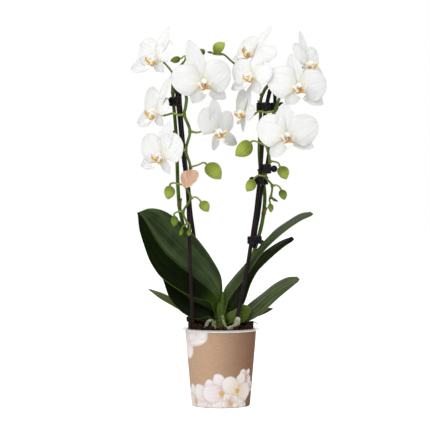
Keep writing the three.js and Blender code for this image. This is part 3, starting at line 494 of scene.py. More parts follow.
nursery = Shape()
section = [(0.01, 1.9), (29.6, 1.9), (30.3, 2.3), (30.6, 3.2)]
section += [(30.6 + (MOUTH - 0.6 - 30.6) * k, 3.2 + (FLANGE_UNDER - 3.6) * k)
            for k in np.linspace(0.04, 1, 16)]
section += [(MOUTH - 0.1, FLANGE_UNDER), (43.9, FLANGE_UNDER), (44.2, 88.0), (44.25, 87.4), (44.4, 87.15),
            (44.7, 87.15), (44.95, 87.4), (45.0, 88.6), (44.85, 89.15), (44.5, 89.45), (44.0, FLANGE_TOP),
            (40.6, FLANGE_TOP), (39.4, 89.3), (38.7, 88.8)]
section += [(29.7 + (38.4 - 29.7) * k, 4.0 + 84.2 * k) for k in np.linspace(1, 0, 14)] + [(0.01, 3.1)]
lathe_from_back(nursery, section, 160)

clear_finish = Finish("clear_milky_plastic", Roughness=0.18, Specular_IOR_Level=0.6, Coat_Weight=0.3,
                      Alpha=0.36)
where = clear_finish.place()
haze = clear_finish.noise(where, 90, 3, 0.6)
scuffs = clear_finish.noise(clear_finish.stretched(where, (1, 1, 6)), 260, 2, 0.5)
clear_finish.feed("Base Color", clear_finish.blend(haze * 0.6, shade(252, 252, 250), shade(232, 234, 232)))
clear_finish.feed("Roughness", 0.12 + scuffs * 0.2)
clear_finish.bump(haze, 0.15, 0.0004)

pot = make_piece("clear_nursery_pot", nursery, [clear_finish.material], "clear_plastic", "nursery_pot",
                 sharp=40)

# %% [markdown]
# A boolean cut makes the six drain holes: six short rods become one cutter, its difference is
# applied to the mesh, and the cutter is thrown away, so that only the finished pot is left.

# %% Drain holes
def cut_with(piece, cutter_shape):
    """Cuts a shape out of a piece for good."""
    mesh = bpy.data.meshes.new("cutter")
    mesh.from_pydata((np.array(cutter_shape.points) * MM).tolist(), [], cutter_shape.faces)
    cutter = bpy.data.objects.new("cutter", mesh)
    bpy.context.scene.collection.objects.link(cutter)
    cut = piece.modifiers.new("cut", "BOOLEAN")
    cut.operation, cut.solver, cut.object = "DIFFERENCE", "EXACT", cutter
    bpy.context.view_layer.update()
    result = bpy.data.meshes.new_from_object(piece.evaluated_get(bpy.context.evaluated_depsgraph_get()))
    piece.modifiers.remove(cut)
    piece.data = result
    bpy.data.objects.remove(cutter)


drains = Shape()
for k in range(6):
    a = k * math.pi / 3
    middle = np.array([19 * math.cos(a), 19 * math.sin(a), 0])
    tube(drains, [middle + (0, 0, z) for z in (0.6, 1.6, 2.6, 3.6, 4.6)], 3.0, 20, round_ends=False)
cut_with(pot, drains)
print("nursery pot after its drain holes:", len(pot.data.vertices), "points")

# %% [markdown]
# ## Bark
#
# Orchids grow in coarse broken bark. The bed is one heap that fills the pot, and loose chips lie on it:
# blocky, sharp-edged lumps of many sizes, each turned its own way. A seeded random stream places most of
# them, so every run gives the same heap; a few by the rim are listed one by one. One thin splinter sticks out
# over the right rim.

# %% Bark bed
BED_LEVEL = 88.9
LEFT_RISE, RIGHT_RISE, BACK_RISE = 12.6, 6.3, 5.5


def bark_height(x, y):
    """The heap: highest at the left rim, and raised less at the right and at the back."""
    left = np.maximum(0, -x / MOUTH - 0.45) * LEFT_RISE
    right = np.maximum(0, x / MOUTH - 0.45) * RIGHT_RISE
    back = np.maximum(0, y / MOUTH) * BACK_RISE
    grain = np.sin(0.55 * x + 1.1) * np.cos(0.47 * y) + 0.6 * np.sin(0.9 * y + 0.3 * x)
    return BED_LEVEL + left + right * 1.5 + back + 1.3 * grain


bark = Shape()
BED_SIDES = 72
bed_angle = np.linspace(0, 2 * math.pi, BED_SIDES, endpoint=False)
bed_rings = []
for radius, level in [(29.0, 3.6), (33.0, 45.0), (37.6, 84.0)]:
    ring = np.stack([radius * np.cos(bed_angle), radius * np.sin(bed_angle), np.full(BED_SIDES, level)],
                    axis=1)
    bed_rings.append(ring)
for radius in (37.8, 36.0, 31.0, 25.0, 19.0, 12.0, 5.0):
    x, y = radius * np.cos(bed_angle), radius * np.sin(bed_angle)
    lumps = 0.8 * np.sin(1.9 * x + 0.7 * y) * np.sin(1.6 * y - 0.4 * x)
    bed_rings.append(np.stack([x, y, bark_height(x, y) + lumps], axis=1))
bed_places = [[(j / BED_SIDES, i / 10) for j in range(BED_SIDES + 1)] for i in range(len(bed_rings))]
bark.skin(bed_rings, bed_places)

# %% Bark chips
dice = random.Random(11)


def spin(dice):
    """A random turn as a 3x3 matrix."""
    a, b, c = (dice.uniform(0, 2 * math.pi) for _ in range(3))
    ca, sa = math.cos(a), math.sin(a)
    cb, sb = math.cos(b * 0.16), math.sin(b * 0.16)
    cc, sc = math.cos(c), math.sin(c)
    z1 = np.array([[ca, -sa, 0], [sa, ca, 0], [0, 0, 1]])
    x1 = np.array([[1, 0, 0], [0, cb, -sb], [0, sb, cb]])
    z2 = np.array([[cc, -sc, 0], [sc, cc, 0], [0, 0, 1]])
    return z1 @ x1 @ z2


def chip(shape, at, length, width, thick, finish):
    """One broken lump: a stack of uneven angular rings."""
    start = len(shape.points)
    sides = 7
    corners = [(2 * math.pi * (j + dice.uniform(-0.3, 0.3)) / sides,
                dice.uniform(0.75, 1.1)) for j in range(sides)]
    rings = []
    for level, grow in ((-1.0, 0.62), (-0.75, 0.95), (0.1, dice.uniform(0.9, 1.1)),
                        (0.8, dice.uniform(0.75, 1.0)), (1.0, 0.5)):
        shift = (dice.uniform(-0.08, 0.08) * length, dice.uniform(-0.08, 0.08) * width)
        rings.append([(length / 2 * r * grow * math.cos(a) + shift[0],
                       width / 2 * r * grow * math.sin(a) + shift[1],
                       thick / 2 * (level + dice.uniform(-0.15, 0.15))) for a, r in corners])
    places = [[(j / sides, i / 5) for j in range(sides + 1)] for i in range(5)]
    shape.skin(rings, places, finish)
    shape.moved(start, spin(dice), at)


for k in range(230):
    radius, a = 36.3 * math.sqrt(dice.random()), dice.uniform(0, 2 * math.pi)
    x, y = radius * math.cos(a), radius * math.sin(a)
    if math.hypot(x, y - 1) < 9:
        continue
    size = dice.uniform(3.0, 9.5) if k < 130 else dice.uniform(1.6, 3.5)
    size = min(size, 2 * (39.0 - math.hypot(x, y)) + 2.0)
    lift = dice.uniform(-0.2, 1.6)
    kind = 1 if dice.random() < 0.12 and size < 6 else 0
    chip(bark, (x, y, float(bark_height(x, y)) + lift), size, size * dice.uniform(0.5, 0.9),
         size * dice.uniform(0.35, 0.6), kind)
for x, y, z, size in ((-33, -17, 97, 8), (-35.5, -8, 98.5, 9), (-31, -24, 94.5, 7), (-34, 4, 98, 10),
                      (-28, -27, 92.5, 6), (-37, 2, 100, 8), (-30, 14, 99, 9), (-34, -12, 99.5, 7),
                      (31, -19, 93, 7), (34, -9, 93, 8), (26, -27, 91, 6)):
    chip(bark, (x, y, z), size, size * 0.7, size * 0.55, 0)
splinter = smooth_curve([(30, -13, 96), (35, -13, 97.8), (39, -12.5, 97), (42.5, -12, 94.8)], step=0.8)
tube(bark, splinter, np.linspace(0.9, 0.35, len(splinter)), 7, 0)

# %% [markdown]
# Wet bark is nearly black in its cracks and red-brown on fresh breaks. Noise at two sizes mixes
# those tones, and a third, stretched along one way, gives the layered grain. A few of the
# smaller crumbs are moss, so they get a green finish of their own.

# %% Bark and moss finishes
bark_finish = Finish("broken_bark", Roughness=0.92, Specular_IOR_Level=0.05)
where = bark_finish.place()
coarse = bark_finish.noise(where, 130, 4, 0.6)
layers = bark_finish.noise(bark_finish.stretched(where, (1, 1, 5)), 420, 4, 0.65)
pale = bark_finish.noise(where, 75, 2, 0.5)
tone = bark_finish.blend(coarse.step(0.35, 0.7), shade(16, 10, 8), shade(62, 42, 30))
tone = bark_finish.blend(layers.step(0.5, 0.75) * 0.6, tone, shade(98, 68, 46))
tone = bark_finish.blend(pale.step(0.6, 0.72) * 0.5, tone, shade(150, 122, 92))
bark_finish.feed("Base Color", tone)
bark_finish.bump(layers * 0.7 + coarse * 0.5, 0.8, 0.0012)

moss_finish = Finish("moss_crumb", Roughness=0.95)
tufts = moss_finish.noise(moss_finish.place(), 900, 4, 0.7)
moss_finish.feed("Base Color", moss_finish.blend(tufts.step(0.35, 0.65), shade(40, 52, 18),
                                                 shade(122, 140, 62)))
moss_finish.bump(tufts, 1.0, 0.001)

make_piece("bark_bed", bark, [bark_finish.material, moss_finish.material], "bark", "bark_substrate", sharp=32)

# %% [markdown]
# ## Aerial roots
#
# Air roots are plump, blunt ropes with a spongy skin that dries to silver and turns green when
# wet. Each is a tube whose thickness wanders a little and narrows at the upper end, where the
# silver ones are also paler.

# %% Roots
ROOTS = {
    "root_silver": (3.25, [(19.4, -26.3, 101.6), (18, -27, 96), (13.5, -25.5, 91.3), (6, -21, 88.6),
                           (-1, -14, 86)]),
    "root_green": (2.7, [(-7.5, -12, 96.5), (-8, -17, 92), (-6, -22, 88), (-3, -26, 85)]),
    "root_left": (2.0, [(-10, -6.5, 98), (-14, -10, 97.5), (-17, -14, 92), (-18.5, -18, 86)]),
    "root_right": (2.0, [(1.5, -9.5, 104), (3, -12, 98), (5.5, -14.5, 92.5), (9, -16, 86)]),
}

silver_finish = Finish("silver_root_skin", Roughness=0.8)
where = silver_finish.place()
u, _ = silver_finish.surface()
mottle = silver_finish.noise(where, 260, 4, 0.6)
streak = silver_finish.noise(silver_finish.stretched(where, (1, 1, 0.3)), 900, 3, 0.6)
tone = silver_finish.blend(mottle.step(0.35, 0.65), shade(120, 124, 98), shade(186, 184, 166))
tone = silver_finish.blend(u.step(0.12, 0.0) * 0.5, tone, shade(205, 200, 180))
silver_finish.feed("Base Color", silver_finish.blend(streak * 0.25, tone, shade(92, 96, 70)))
silver_finish.bump(streak + mottle, 0.5, 0.0004)

green_finish = Finish("green_root_skin", Roughness=0.6)
where = green_finish.place()
mottle = green_finish.noise(where, 320, 4, 0.6)
tone = green_finish.blend(mottle.step(0.35, 0.7), shade(66, 88, 34), shade(146, 158, 92))
green_finish.feed("Base Color", tone)
green_finish.bump(mottle, 0.5, 0.0004)

for name, (radius, route) in ROOTS.items():
    line = smooth_curve(route, step=0.9)
    part = np.linspace(0, 1, len(line))
    taper = 0.86 + 0.14 * np.clip(part / 0.15, 0, 1)
    swell = radius * (1 + 0.06 * np.sin(part * 17) + 0.04 * np.sin(part * 41 + 1)) * taper
    rope = Shape()
    tube(rope, line, swell, 20)
    skin = green_finish if name in ("root_green", "root_right") else silver_finish
    make_piece(name + "_rope", rope, [skin.material], "root_skin", name)

# %% [markdown]
# ## Stakes
#
# Two slim dark stakes stand beside each spike, bent to the arch of its stem. The right front one
# ends in a thin wire hook. They are tubes with shallow flutes, and the finish is a dark plum with
# paler dusty streaks that run along the stake.

# %% Stakes
STAKES = {
    "stake_left_front": (2.2, [(-24, -13, 30), (-31.5, -14.5, 88.5), (-34, -14, 134), (-36, -10.5, 194.5),
                               (-37.5, -7.5, 231.5),
                               (-38.5, -6, 248.5), (-43.5, -3.5, 289), (-47, -2.5, 323.5), (-50, -2, 352.5),
                               (-51.5, -2, 372)]),
    "stake_left_rear": (2.2, [(-15, 21, 30), (-20.5, 24, 85.5), (-24.5, 20, 138.5), (-31.5, 9, 199),
                              (-34.5, 6, 219.5),
                              (-37, 3.5, 248.5), (-42, 3, 289), (-45, 3.5, 324), (-47, 4, 352.5),
                              (-48, 4.5, 372)]),
    "stake_right_front": (2.4, [(11.5, -20, 30), (19, -18, 102.5), (29, -12.5, 152.5), (35.5, -8.5, 191.5),
                                (39.5, -7, 216.5),
                                (43, -6.5, 246.5), (46, -6, 277.5), (47.5, -5, 300.5), (49.5, -5, 327),
                                (53.5, -5.5, 350),
                                (56.5, -6, 363)]),
    "stake_right_rear": (2.2, [(38.3, 0.5, 183), (40, 0.5, 200), (43.5, 0.5, 220), (46.5, -0.5, 245),
                               (50.5, -1.5, 262.5),
                               (54, -1, 281), (58.5, 1, 318), (62.5, 2, 352.5), (62, 2, 363)]),
}
HOOK = [(56.3, -6, 361), (57.5, -6.5, 368), (54.5, -7.5, 372.5), (50, -8.5, 375.5), (47.5, -9, 373)]

stake_finish = Finish("dark_plum_stake", Roughness=0.42, Specular_IOR_Level=0.15)
where = stake_finish.place()
grain = stake_finish.noise(stake_finish.stretched(where, (1, 1, 0.06)), 900, 4, 0.6)
blotch = stake_finish.noise(stake_finish.stretched(where, (1, 1, 0.3)), 120, 3, 0.5)
tone = stake_finish.blend(grain.step(0.35, 0.75), shade(16, 9, 9), shade(44, 28, 28))
tone = stake_finish.blend(blotch.step(0.55, 0.75) * 0.45, tone, shade(60, 36, 42))
stake_finish.feed("Base Color", tone)
stake_finish.feed("Roughness", 0.32 + grain * 0.25)
stake_finish.bump(grain, 0.5, 0.0004)


def flutes(angle, part):
    return 1 - 0.035 * (0.5 + 0.5 * np.cos(6 * angle))


for name, (radius, route) in STAKES.items():
    cane = Shape()
    line = smooth_curve(route, step=3.0)
    wander = 1 + 0.03 * np.sin(np.linspace(0, 26, len(line))) + 0.02 * np.sin(np.linspace(1, 71, len(line)))
    tube(cane, line, radius * wander, 18, rib=flutes)
    if name == "stake_right_front":
        tube(cane, smooth_curve(HOOK, step=0.7), 1.3, 14)
    make_piece(name + "_cane", cane, [stake_finish.material], "dark_stake", name)

# %% [markdown]
# ## Leaves
#
# The leaves are thick straps that clasp the crown in two rows. Each is lofted between three
# lines: its rear edge, its midrib and its front edge. Across the leaf the surface folds gently at
# the midrib, and the thickness swells in the middle and runs out to a thin rim. The map runs
# along the leaf, and across it from 0 to 1 on the upper side and from 1 to 2 underneath.

# %% Leaf tables
LEAVES = {
    "leaf_left_large": (
        [(1.8, 3, 131), (0.2, 5, 149), (-10, 6, 169), (-23, 5, 187.5), (-37.5, 3, 204), (-53, 1, 217),
         (-68, -2, 225.5),
         (-82.5, -6, 227.5), (-94, -9.5, 223.5)],
        [(-6, -3, 124.5), (-18, -3, 138), (-32.5, -3, 149.5), (-47, -3.5, 161), (-61, -4.5, 173.5),
         (-73.5, -6, 189.5),
         (-82.5, -8, 205), (-89.5, -9.5, 216.5), (-95, -10.3, 222)],
        [(-12.5, -8, 119.5), (-27.5, -9.5, 123.5), (-43.5, -10, 130.5), (-58.5, -10, 140), (-70, -10, 149.5),
         (-81, -10.5, 166), (-88, -11, 184.5), (-93.5, -11.5, 203), (-95.5, -11, 220.5)],
        (-96.5, -11, 222.5)),
    "leaf_left_middle": (
        [(-6.5, 10, 117.5), (-18.5, 12.5, 125.5), (-36, 13, 137), (-52, 12.5, 145), (-66, 11.5, 149)],
        [(-10, 2, 109), (-20.5, 3, 114.5), (-34.5, 5, 121.5), (-49.5, 7, 133), (-67, 10.5, 147.5)],
        [(-14, -5.5, 102.5), (-26.5, -6, 99.8), (-42.5, -4, 106), (-58, 2, 121.5), (-67.5, 9.5, 145.5)],
        (-69, 11, 148.5)),
    "leaf_left_small": (
        [(-11, 12, 101), (-26.5, 16, 109), (-47.5, 20, 119), (-67.5, 22, 128.5), (-82, 22, 133)],
        [(-13.5, 8, 99), (-29, 11, 103.5), (-48.5, 15, 113.5), (-68.5, 18, 124.5), (-83, 21, 132.5)],
        [(-17, 5, 97.5), (-31, 7, 98.5), (-49.5, 10, 110), (-70.5, 15, 122), (-83, 20, 131.5)],
        (-85, 21, 133)),
    "leaf_right_tall": (
        [(4, 6, 133), (13, 6, 145.5), (28, 5, 163), (45.5, 5, 185), (63, 11, 203), (78, 15, 213),
         (93, 14, 221.4), (104, 7, 223.4)],
        [(6, 1, 128.5), (15, 1.5, 141.5), (30, 0.5, 159), (46.5, 0, 179.5), (65, 0, 197), (80, 0, 209.5),
         (93.5, 0, 217),
         (105, 1.5, 221)],
        [(9, -3, 123.5), (20, -3.5, 137.5), (33.5, -4, 155), (48, -5, 175.5), (65.5, -11, 193.5),
         (79.5, -14, 205.5),
         (92, -12, 213.6), (104.5, -3, 218.8)],
        (107, 2, 221)),
    "leaf_right_middle": (
        [(6.5, 9, 117.5), (12, 10, 124), (17.5, 9, 136), (30.5, 8, 156.5), (43, 7, 171), (57, 8, 182),
         (71, 8, 190.4),
         (82.5, 5, 194.8)],
        [(8.5, 4, 112), (17, 3, 117), (25.5, 0, 133.5), (36, -2, 152.5), (48.5, -3, 169), (60, -3, 178.5),
         (71.5, -1, 186.5),
         (83, 2.5, 192.3)],
        [(12, -1.5, 104.5), (25, -3, 114), (35, -7, 140.5), (42.5, -9, 155), (52, -10, 165.5),
         (63, -9.5, 175.5),
         (74, -7, 184), (83, 0, 189.4)],
        (85, 2.5, 192)),
    "leaf_right_low": (
        [(14.5, 5, 102), (21, 6, 107), (32.5, 10, 116.5), (48, 13, 128), (63, 14, 140), (77, 12, 147.4),
         (88.5, 7, 148.4)],
        [(15.5, 0, 98.5), (23.5, -1, 101), (36, 0, 109), (50, 0, 122), (63.5, 1, 133.5), (77.5, 2, 141),
         (89.5, 4, 145.5)],
        [(17, -4, 96), (26.5, -6, 95.8), (40.5, -6, 102), (54, -8, 113), (67, -7, 124.5), (79.5, -4, 134.6),
         (89.5, 1.5, 142.6)],
        (91.5, 4, 145.5)),
    "leaf_right_hidden": (
        [(19, 16.5, 101), (26, 17, 103.5), (39, 24, 108.5), (50.5, 27, 111), (59.5, 26, 110.8)],
        [(20, 12.5, 98.5), (27, 13, 100.5), (40, 18, 104.5), (50.5, 22, 107.5), (60, 25, 110)],
        [(21, 9.5, 97), (28, 11, 98), (41, 14, 100.5), (51.5, 18, 104.5), (60, 23.5, 109)],
        (61.5, 25, 110.2)),
    "leaf_right_young": (
        [(8.5, -6, 106.5), (16, -8.5, 111), (25, -9, 117), (32.5, -8.5, 114.5), (34.3, -8.5, 111)],
        [(10, -8, 98.5), (17.5, -10, 102.5), (24.5, -11, 106.5), (30, -10, 107.5), (34, -9, 108.5)],
        [(11.5, -10, 96), (18.5, -12.5, 96.3), (25, -13, 97), (31, -11.5, 101.5), (34, -9.5, 106.5)],
        (35, -9, 108.8)),
}

# %% Leaf shape
def fine_line(points, count):
    """Points along a curve, spaced by the table's own steps, so that three lines stay in step."""
    knots = np.array(points, float)
    fine = smooth_curve(knots, count=600)
    marks = [int(np.argmin(np.linalg.norm(fine - k, axis=1))) for k in knots]
    marks[0], marks[-1] = 0, len(fine) - 1
    at = np.interp(np.linspace(0, len(knots) - 1, count), range(len(knots)), marks)
    return np.stack([np.interp(at, range(len(fine)), fine[:, k]) for k in range(3)], axis=1)


def with_foot(points, k, side, level):
    """Runs one line of a leaf on down to the stem, where its foot clasps half way round."""
    spread = 1 + (103 - level) * 0.03
    clasp = np.array((side * (1.0, 6.0, 2.0)[k] * spread, 1 + (6.0, 0.0, -5.8)[k] * spread,
                      level - (0, 2, 0)[k]))
    between = (np.array(points[0]) + clasp) / 2 + (0, 0, -1.5)
    return [clasp, between] + list(points)


def leaf_shape(rear, midrib, front, tip, level, thickness=2.0, seed=0.0):
    blade = Shape()
    rows, columns = 72, 25
    side = 1 if tip[0] > 0 else -1
    edge_a, middle, edge_b = [fine_line(with_foot(points, k, side, level), rows)
                              for k, points in enumerate((rear, midrib, front))]
    s = 0.5 - 0.5 * np.cos(np.linspace(0, math.pi, columns))
    along = unit(np.gradient(middle, axis=0))
    up = unit(np.cross(edge_b - edge_a, along)) * side
    ridge = middle - (edge_a + edge_b) / 2
    t = np.linspace(0, 1, rows)
    fold = 1 - np.abs(2 * s - 1) ** 1.35
    rings, places = [], []
    for i in range(rows):
        face = edge_a[i] + (edge_b[i] - edge_a[i]) * s[:, None] + ridge[i] * fold[:, None]
        groove = -0.45 * np.exp(-((s - 0.5) / 0.035) ** 2) * min(1, 6 * (1 - t[i]))
        wave = 0.5 * np.sin(9 * t[i] + seed + 4 * s) * np.abs(2 * s - 1) ** 2 * math.sin(math.pi * t[i])
        body = thickness * np.sqrt(np.maximum(0, 1 - (2 * s - 1) ** 2)) * (0.55 + 0.45 * (1 - t[i]))
        rib = 0.8 * np.exp(-((s - 0.5) / 0.07) ** 2) * (1 - t[i])
        top = face + up[i] * (body / 2 + groove + wave)[:, None]
        under = face + up[i] * (-body / 2 - rib + wave)[:, None]
        ring = np.vstack([top, under[-2:0:-1]])
        place = [(t[i], x) for x in s] + [(t[i], 2 - x) for x in s[-2:0:-1]] + [(t[i], 2.0)]
        if side < 0:
            ring, place = np.vstack([ring[:1], ring[:0:-1]]), place[::-1]
        rings.append(ring)
        places.append(place)
    last = np.array(rings[-1])
    for k in (0.55, 0.85, 0.99):
        rings.append(last + (np.array(tip) - last) * k)
        places.append([(1.0, p[1]) for p in places[-1]])
    blade.skin(rings, places)
    return blade

# %% [markdown]
# The leaf's green is made of layers: a mottled ground with fine parallel veins, one tone for the rear half
# and a darker one for the front half, which is painted shade because that half turns away from the light; a
# line at the midrib beside a darker strip that is painted shade in the groove, a thin paler rim and a foot in
# the midrib's tone. The skin is nearly matt, and the sheen lies in a thin coat that follows the veins. All of
# it reads the leaf's own map, so it follows every bend, and one function mixes every leaf's finish, from
# nearly black green to grey-green.

# %% Leaf finishes
def leaf_finish(name, rear, front, rim, foot, sheen, gloss=0.12):
    """rear and front are pairs of colours, dark and light; the front pair is darker, painted shade on the
    half that turns from the light. sheen is how much coat the rear half has.
    """
    leaf = Finish(name, Roughness=0.5, Specular_IOR_Level=gloss, Coat_Roughness=0.34)
    u, v = leaf.surface()
    across = 1.0 - abs(1.0 - v)
    under = v.step(1.0, 1.02)
    where = leaf.place()
    mottle = leaf.noise(where, 60, 4, 0.55)
    fine = leaf.noise(where, 900, 2, 0.5)
    lanes = leaf.node("ShaderNodeCombineXYZ", values={0: u * 1.2, 1: across * 26.0, 2: 0.0})
    veins = leaf.noise(lanes, 1.6, 3, 0.55)
    broad = leaf.noise(leaf.node("ShaderNodeCombineXYZ", values={0: u * 1.6, 1: across * 5.0, 2: 0.0}), 1.0,
                       2, 0.5)
    half = across.step(0.485, 0.515)
    share = mottle.step(0.3, 0.75) * 0.25 + veins.step(0.38, 0.68) * 0.4
    share = (share + broad.step(0.38, 0.66) * 0.5).clamped()
    # the front half takes its own, darker pair of tones: painted shade
    tone = leaf.blend(half, leaf.blend(share, *rear), leaf.blend(share, *front))
    # a darker strip next to the midrib, on the rear side: painted shade in the groove
    beside = across.step(0.44, 0.48) * (1.0 - across.step(0.49, 0.5))
    line = across.step(0.488, 0.498) * (1.0 - across.step(0.502, 0.512))
    tone = leaf.blend(beside * 0.5, tone, tuple(c * 0.45 for c in rear[0]))
    tone = leaf.blend(line * 0.5, tone, foot)
    tone = leaf.blend(u.step(0.3, 0.14) * 0.85, tone, foot)
    tone = leaf.blend(under * 0.3, tone, rear[1])
    edge = across.step(0.03, 0.01).bigger(across.step(0.97, 0.99))
    tone = leaf.blend(edge * 0.7, tone, rim)
    tone = leaf.blend(fine.step(0.55, 0.75) * 0.08, tone, rim)
    leaf.feed("Base Color", tone)
    leaf.feed("Coat Weight", (1.0 - half * 0.95) * (0.25 + veins * 0.6) * sheen)
    leaf.feed("Roughness", 0.48 + veins * 0.12 + under * 0.1)
    leaf.bump(veins * 0.8 + fine * 0.15, 0.3, 0.0004)
    return leaf.material


# in each skin the second pair, the front half's, is darker: painted shade
LEAF_SKINS = {
    "old": leaf_finish("old_leaf_skin", (shade(20, 34, 6), shade(76, 92, 52)),
                       (shade(5, 12, 0), shade(15, 27, 1)),
                       shade(74, 96, 30), shade(56, 74, 18), 0.5, 0.04),
    "tall": leaf_finish("tall_leaf_skin", (shade(40, 58, 18), shade(92, 106, 70)),
                        (shade(30, 46, 12), shade(78, 94, 54)),
                        shade(120, 136, 66), shade(50, 68, 20), 0.4),
    "middle": leaf_finish("dark_leaf_skin", (shade(14, 22, 4), shade(58, 70, 36)),
                          (shade(10, 18, 2), shade(34, 46, 14)),
                          shade(112, 126, 66), shade(30, 44, 10), 0.4, 0.05),
    "low": leaf_finish("grey_leaf_skin", (shade(44, 58, 24), shade(120, 128, 96)),
                       (shade(30, 46, 12), shade(92, 104, 66)),
                       shade(128, 140, 84), shade(46, 60, 22), 0.5),
    "small": leaf_finish("pale_leaf_skin", (shade(84, 102, 46), shade(134, 144, 98)),
                         (shade(62, 82, 26), shade(110, 126, 70)),
                         shade(150, 160, 108), shade(60, 78, 30), 0.3),
    "young": leaf_finish("young_leaf_skin", (shade(58, 76, 12), shade(92, 104, 26)),
                         (shade(50, 70, 8), shade(80, 96, 22)),
                         shade(150, 160, 60), shade(40, 58, 12), 0.3),
}
# level at which a leaf clasps the stem, and its skin
LEAF_FEET = {"leaf_left_large": (100, "old"), "leaf_left_middle": (97, "old"),
             "leaf_left_small": (93, "small"),
             "leaf_right_tall": (103, "tall"), "leaf_right_middle": (100, "middle"),
             "leaf_right_low": (95, "low"),
             "leaf_right_hidden": (93, "low"), "leaf_right_young": (93, "young")}

for number, (name, lines) in enumerate(LEAVES.items()):
    level, skin = LEAF_FEET[name]
    blade = leaf_shape(*lines, level, thickness=1.6 if skin == "young" else 2.0, seed=number * 1.7)
    make_piece(name + "_blade", blade, [LEAF_SKINS[skin]], "young_leaf" if skin == "young" else "leaf_green",
               name)

# %% [markdown]
# ## Crown
#
# The leaves' clasping feet make most of the short stem. Its core is a stack of old sheaths, so
# the lathe's rings are squeezed in two directions and stepped where one sheath leaves the next.
# A slimmer sheath stands inside it and fills the notch between the two tallest leaves.

# %% Crown
crown = Shape()
profile = [(6.0, 79), (7.0, 83), (7.4, 89), (7.2, 92), (6.4, 93.5), (6.9, 97), (6.6, 100), (5.8, 101.2),
           (6.2, 105), (6.0, 110),
           (5.4, 113), (4.2, 116), (2.6, 118.5), (1.0, 119.6)]


def sheath_fold(angle, height):
    lean = (height - 80) * 0.03
    return 0.5 * np.cos(2 * angle + lean) + 0.35 * np.cos(9 * angle + height * 0.2)


lathe(crown, profile, 56, centre=(0.0, 1.0), ends=True, wobble=sheath_fold)
INNER_SHEATH = [(3.6, 106), (4.0, 112), (3.4, 119), (2.6, 125), (1.5, 129.5), (0.3, 131)]
lathe(crown, INNER_SHEATH, 24, centre=(2.4, 2.5), ends=True)
crown_finish = Finish("crown_sheath", Roughness=0.55, Specular_IOR_Level=0.2)
where = crown_finish.place()
ribs = crown_finish.noise(crown_finish.stretched(where, (1, 1, 0.08)), 700, 3, 0.6)
height = crown_finish.node("ShaderNodeSeparateXYZ", values={0: where}, output=2)
tone = crown_finish.blend(height.step(0.09, 0.112), shade(92, 92, 52), shade(66, 88, 20))
tone = crown_finish.blend(ribs.step(0.4, 0.7) * 0.4, tone, shade(40, 56, 14))
crown_finish.feed("Base Color", tone)
crown_finish.bump(ribs, 0.5, 0.0005)
make_piece("crown_sheaths", crown, [crown_finish.material], "stem_green", "crown")

# %% [markdown]
# ## Flower spikes
#
# A spike is one growth: a stem with joints like bamboo, a cascade that zigzags from flower to
# flower, and a stalk for each bloom and bud but bud_02. Tubes along the table's lines give them;
# the radius swells at every joint and where a stalk leaves, and a small pointed bract clasps the
# stem there.

# %% Flower and bud tables
FLOWERS = {
    "flower_01": dict(at=(-74.5, -12, 397.5), yaw=-44, pitch=8, size=1, drop=3, lean=15,
                      blades=[(17, 41, 17), (47, 28, 26), (-59, 39, 34), (150, 15, 15), (-99, 47, 18)]),
    "flower_02": dict(at=(-20.5, -34, 370), yaw=16, pitch=-4, size=1, drop=3, lean=-12,
                      blades=[(-19, 51, 21), (64, 37, 38), (-80, 37, 36), (120, 34, 17), (-157, 25, 19)]),
    "flower_03": dict(at=(-74.5, -14, 336), yaw=-52, pitch=8, size=1, drop=3, lean=15,
                      blades=[(18, 46, 15), (44, 22, 24), (-45, 40, 32), (150, 15, 14), (-101, 44, 20)]),
    "flower_04": dict(at=(-68, -27, 286.5), yaw=-36, pitch=0, size=0.95, drop=3, lean=12,
                      blades=[(13, 43, 22), (52, 34, 38), (-57, 38, 35), (158, 22, 13), (-107, 37, 18)]),
    "flower_05": dict(at=(-4.5, -30, 314.5), yaw=40, pitch=-8, size=0.9, drop=2, lean=-10,
                      blades=[(-10, 43, 22), (52, 35, 30), (-45, 36, 36), (111, 43, 16), (174, 24, 14)]),
    "flower_06": dict(at=(36, 14, 405), yaw=-50, pitch=35, size=1, drop=3, lean=25,
                      blades=[(1, 46, 18), (91, 37, 30), (-55, 46, 34), (125, 28, 18), (-86, 41, 22)]),
    "flower_07": dict(at=(35.5, -30, 377), yaw=-38, pitch=6, size=0.9, drop=3, lean=8,
                      blades=[(15, 36, 20), (73, 29, 30), (-67, 38, 34), (155, 23, 15), (-110, 39, 17)]),
    "flower_08": dict(at=(26.5, -15, 335.5), yaw=-62, pitch=4, size=0.85, drop=2, lean=0,
                      blades=[(9, 40, 20), (80, 22, 22), (-43, 41, 38), (-155, 25, 16), (-111, 31, 12)]),
    "flower_09": dict(at=(99.5, 2, 391.5), yaw=50, pitch=12, size=0.95, drop=3, lean=-12,
                      blades=[(4, 46, 15), (56, 38, 27), (-25, 31, 26), (105, 40, 16), (-157, 22, 10)]),
    "flower_10": dict(at=(87.5, -34, 364.5), yaw=14, pitch=4, size=1, drop=2.5, lean=-8,
                      blades=[(-9, 40, 19), (79, 36, 38), (-68, 37, 38), (119, 36, 18), (-147, 22, 18)]),
    "flower_11": dict(at=(74.5, -44, 308.5), yaw=8, pitch=2, size=1, drop=2.5, lean=-5,
                      blades=[(-4, 39, 22), (67, 40, 36), (-65, 36, 38), (109, 34, 15), (-141, 28, 18)]),
}
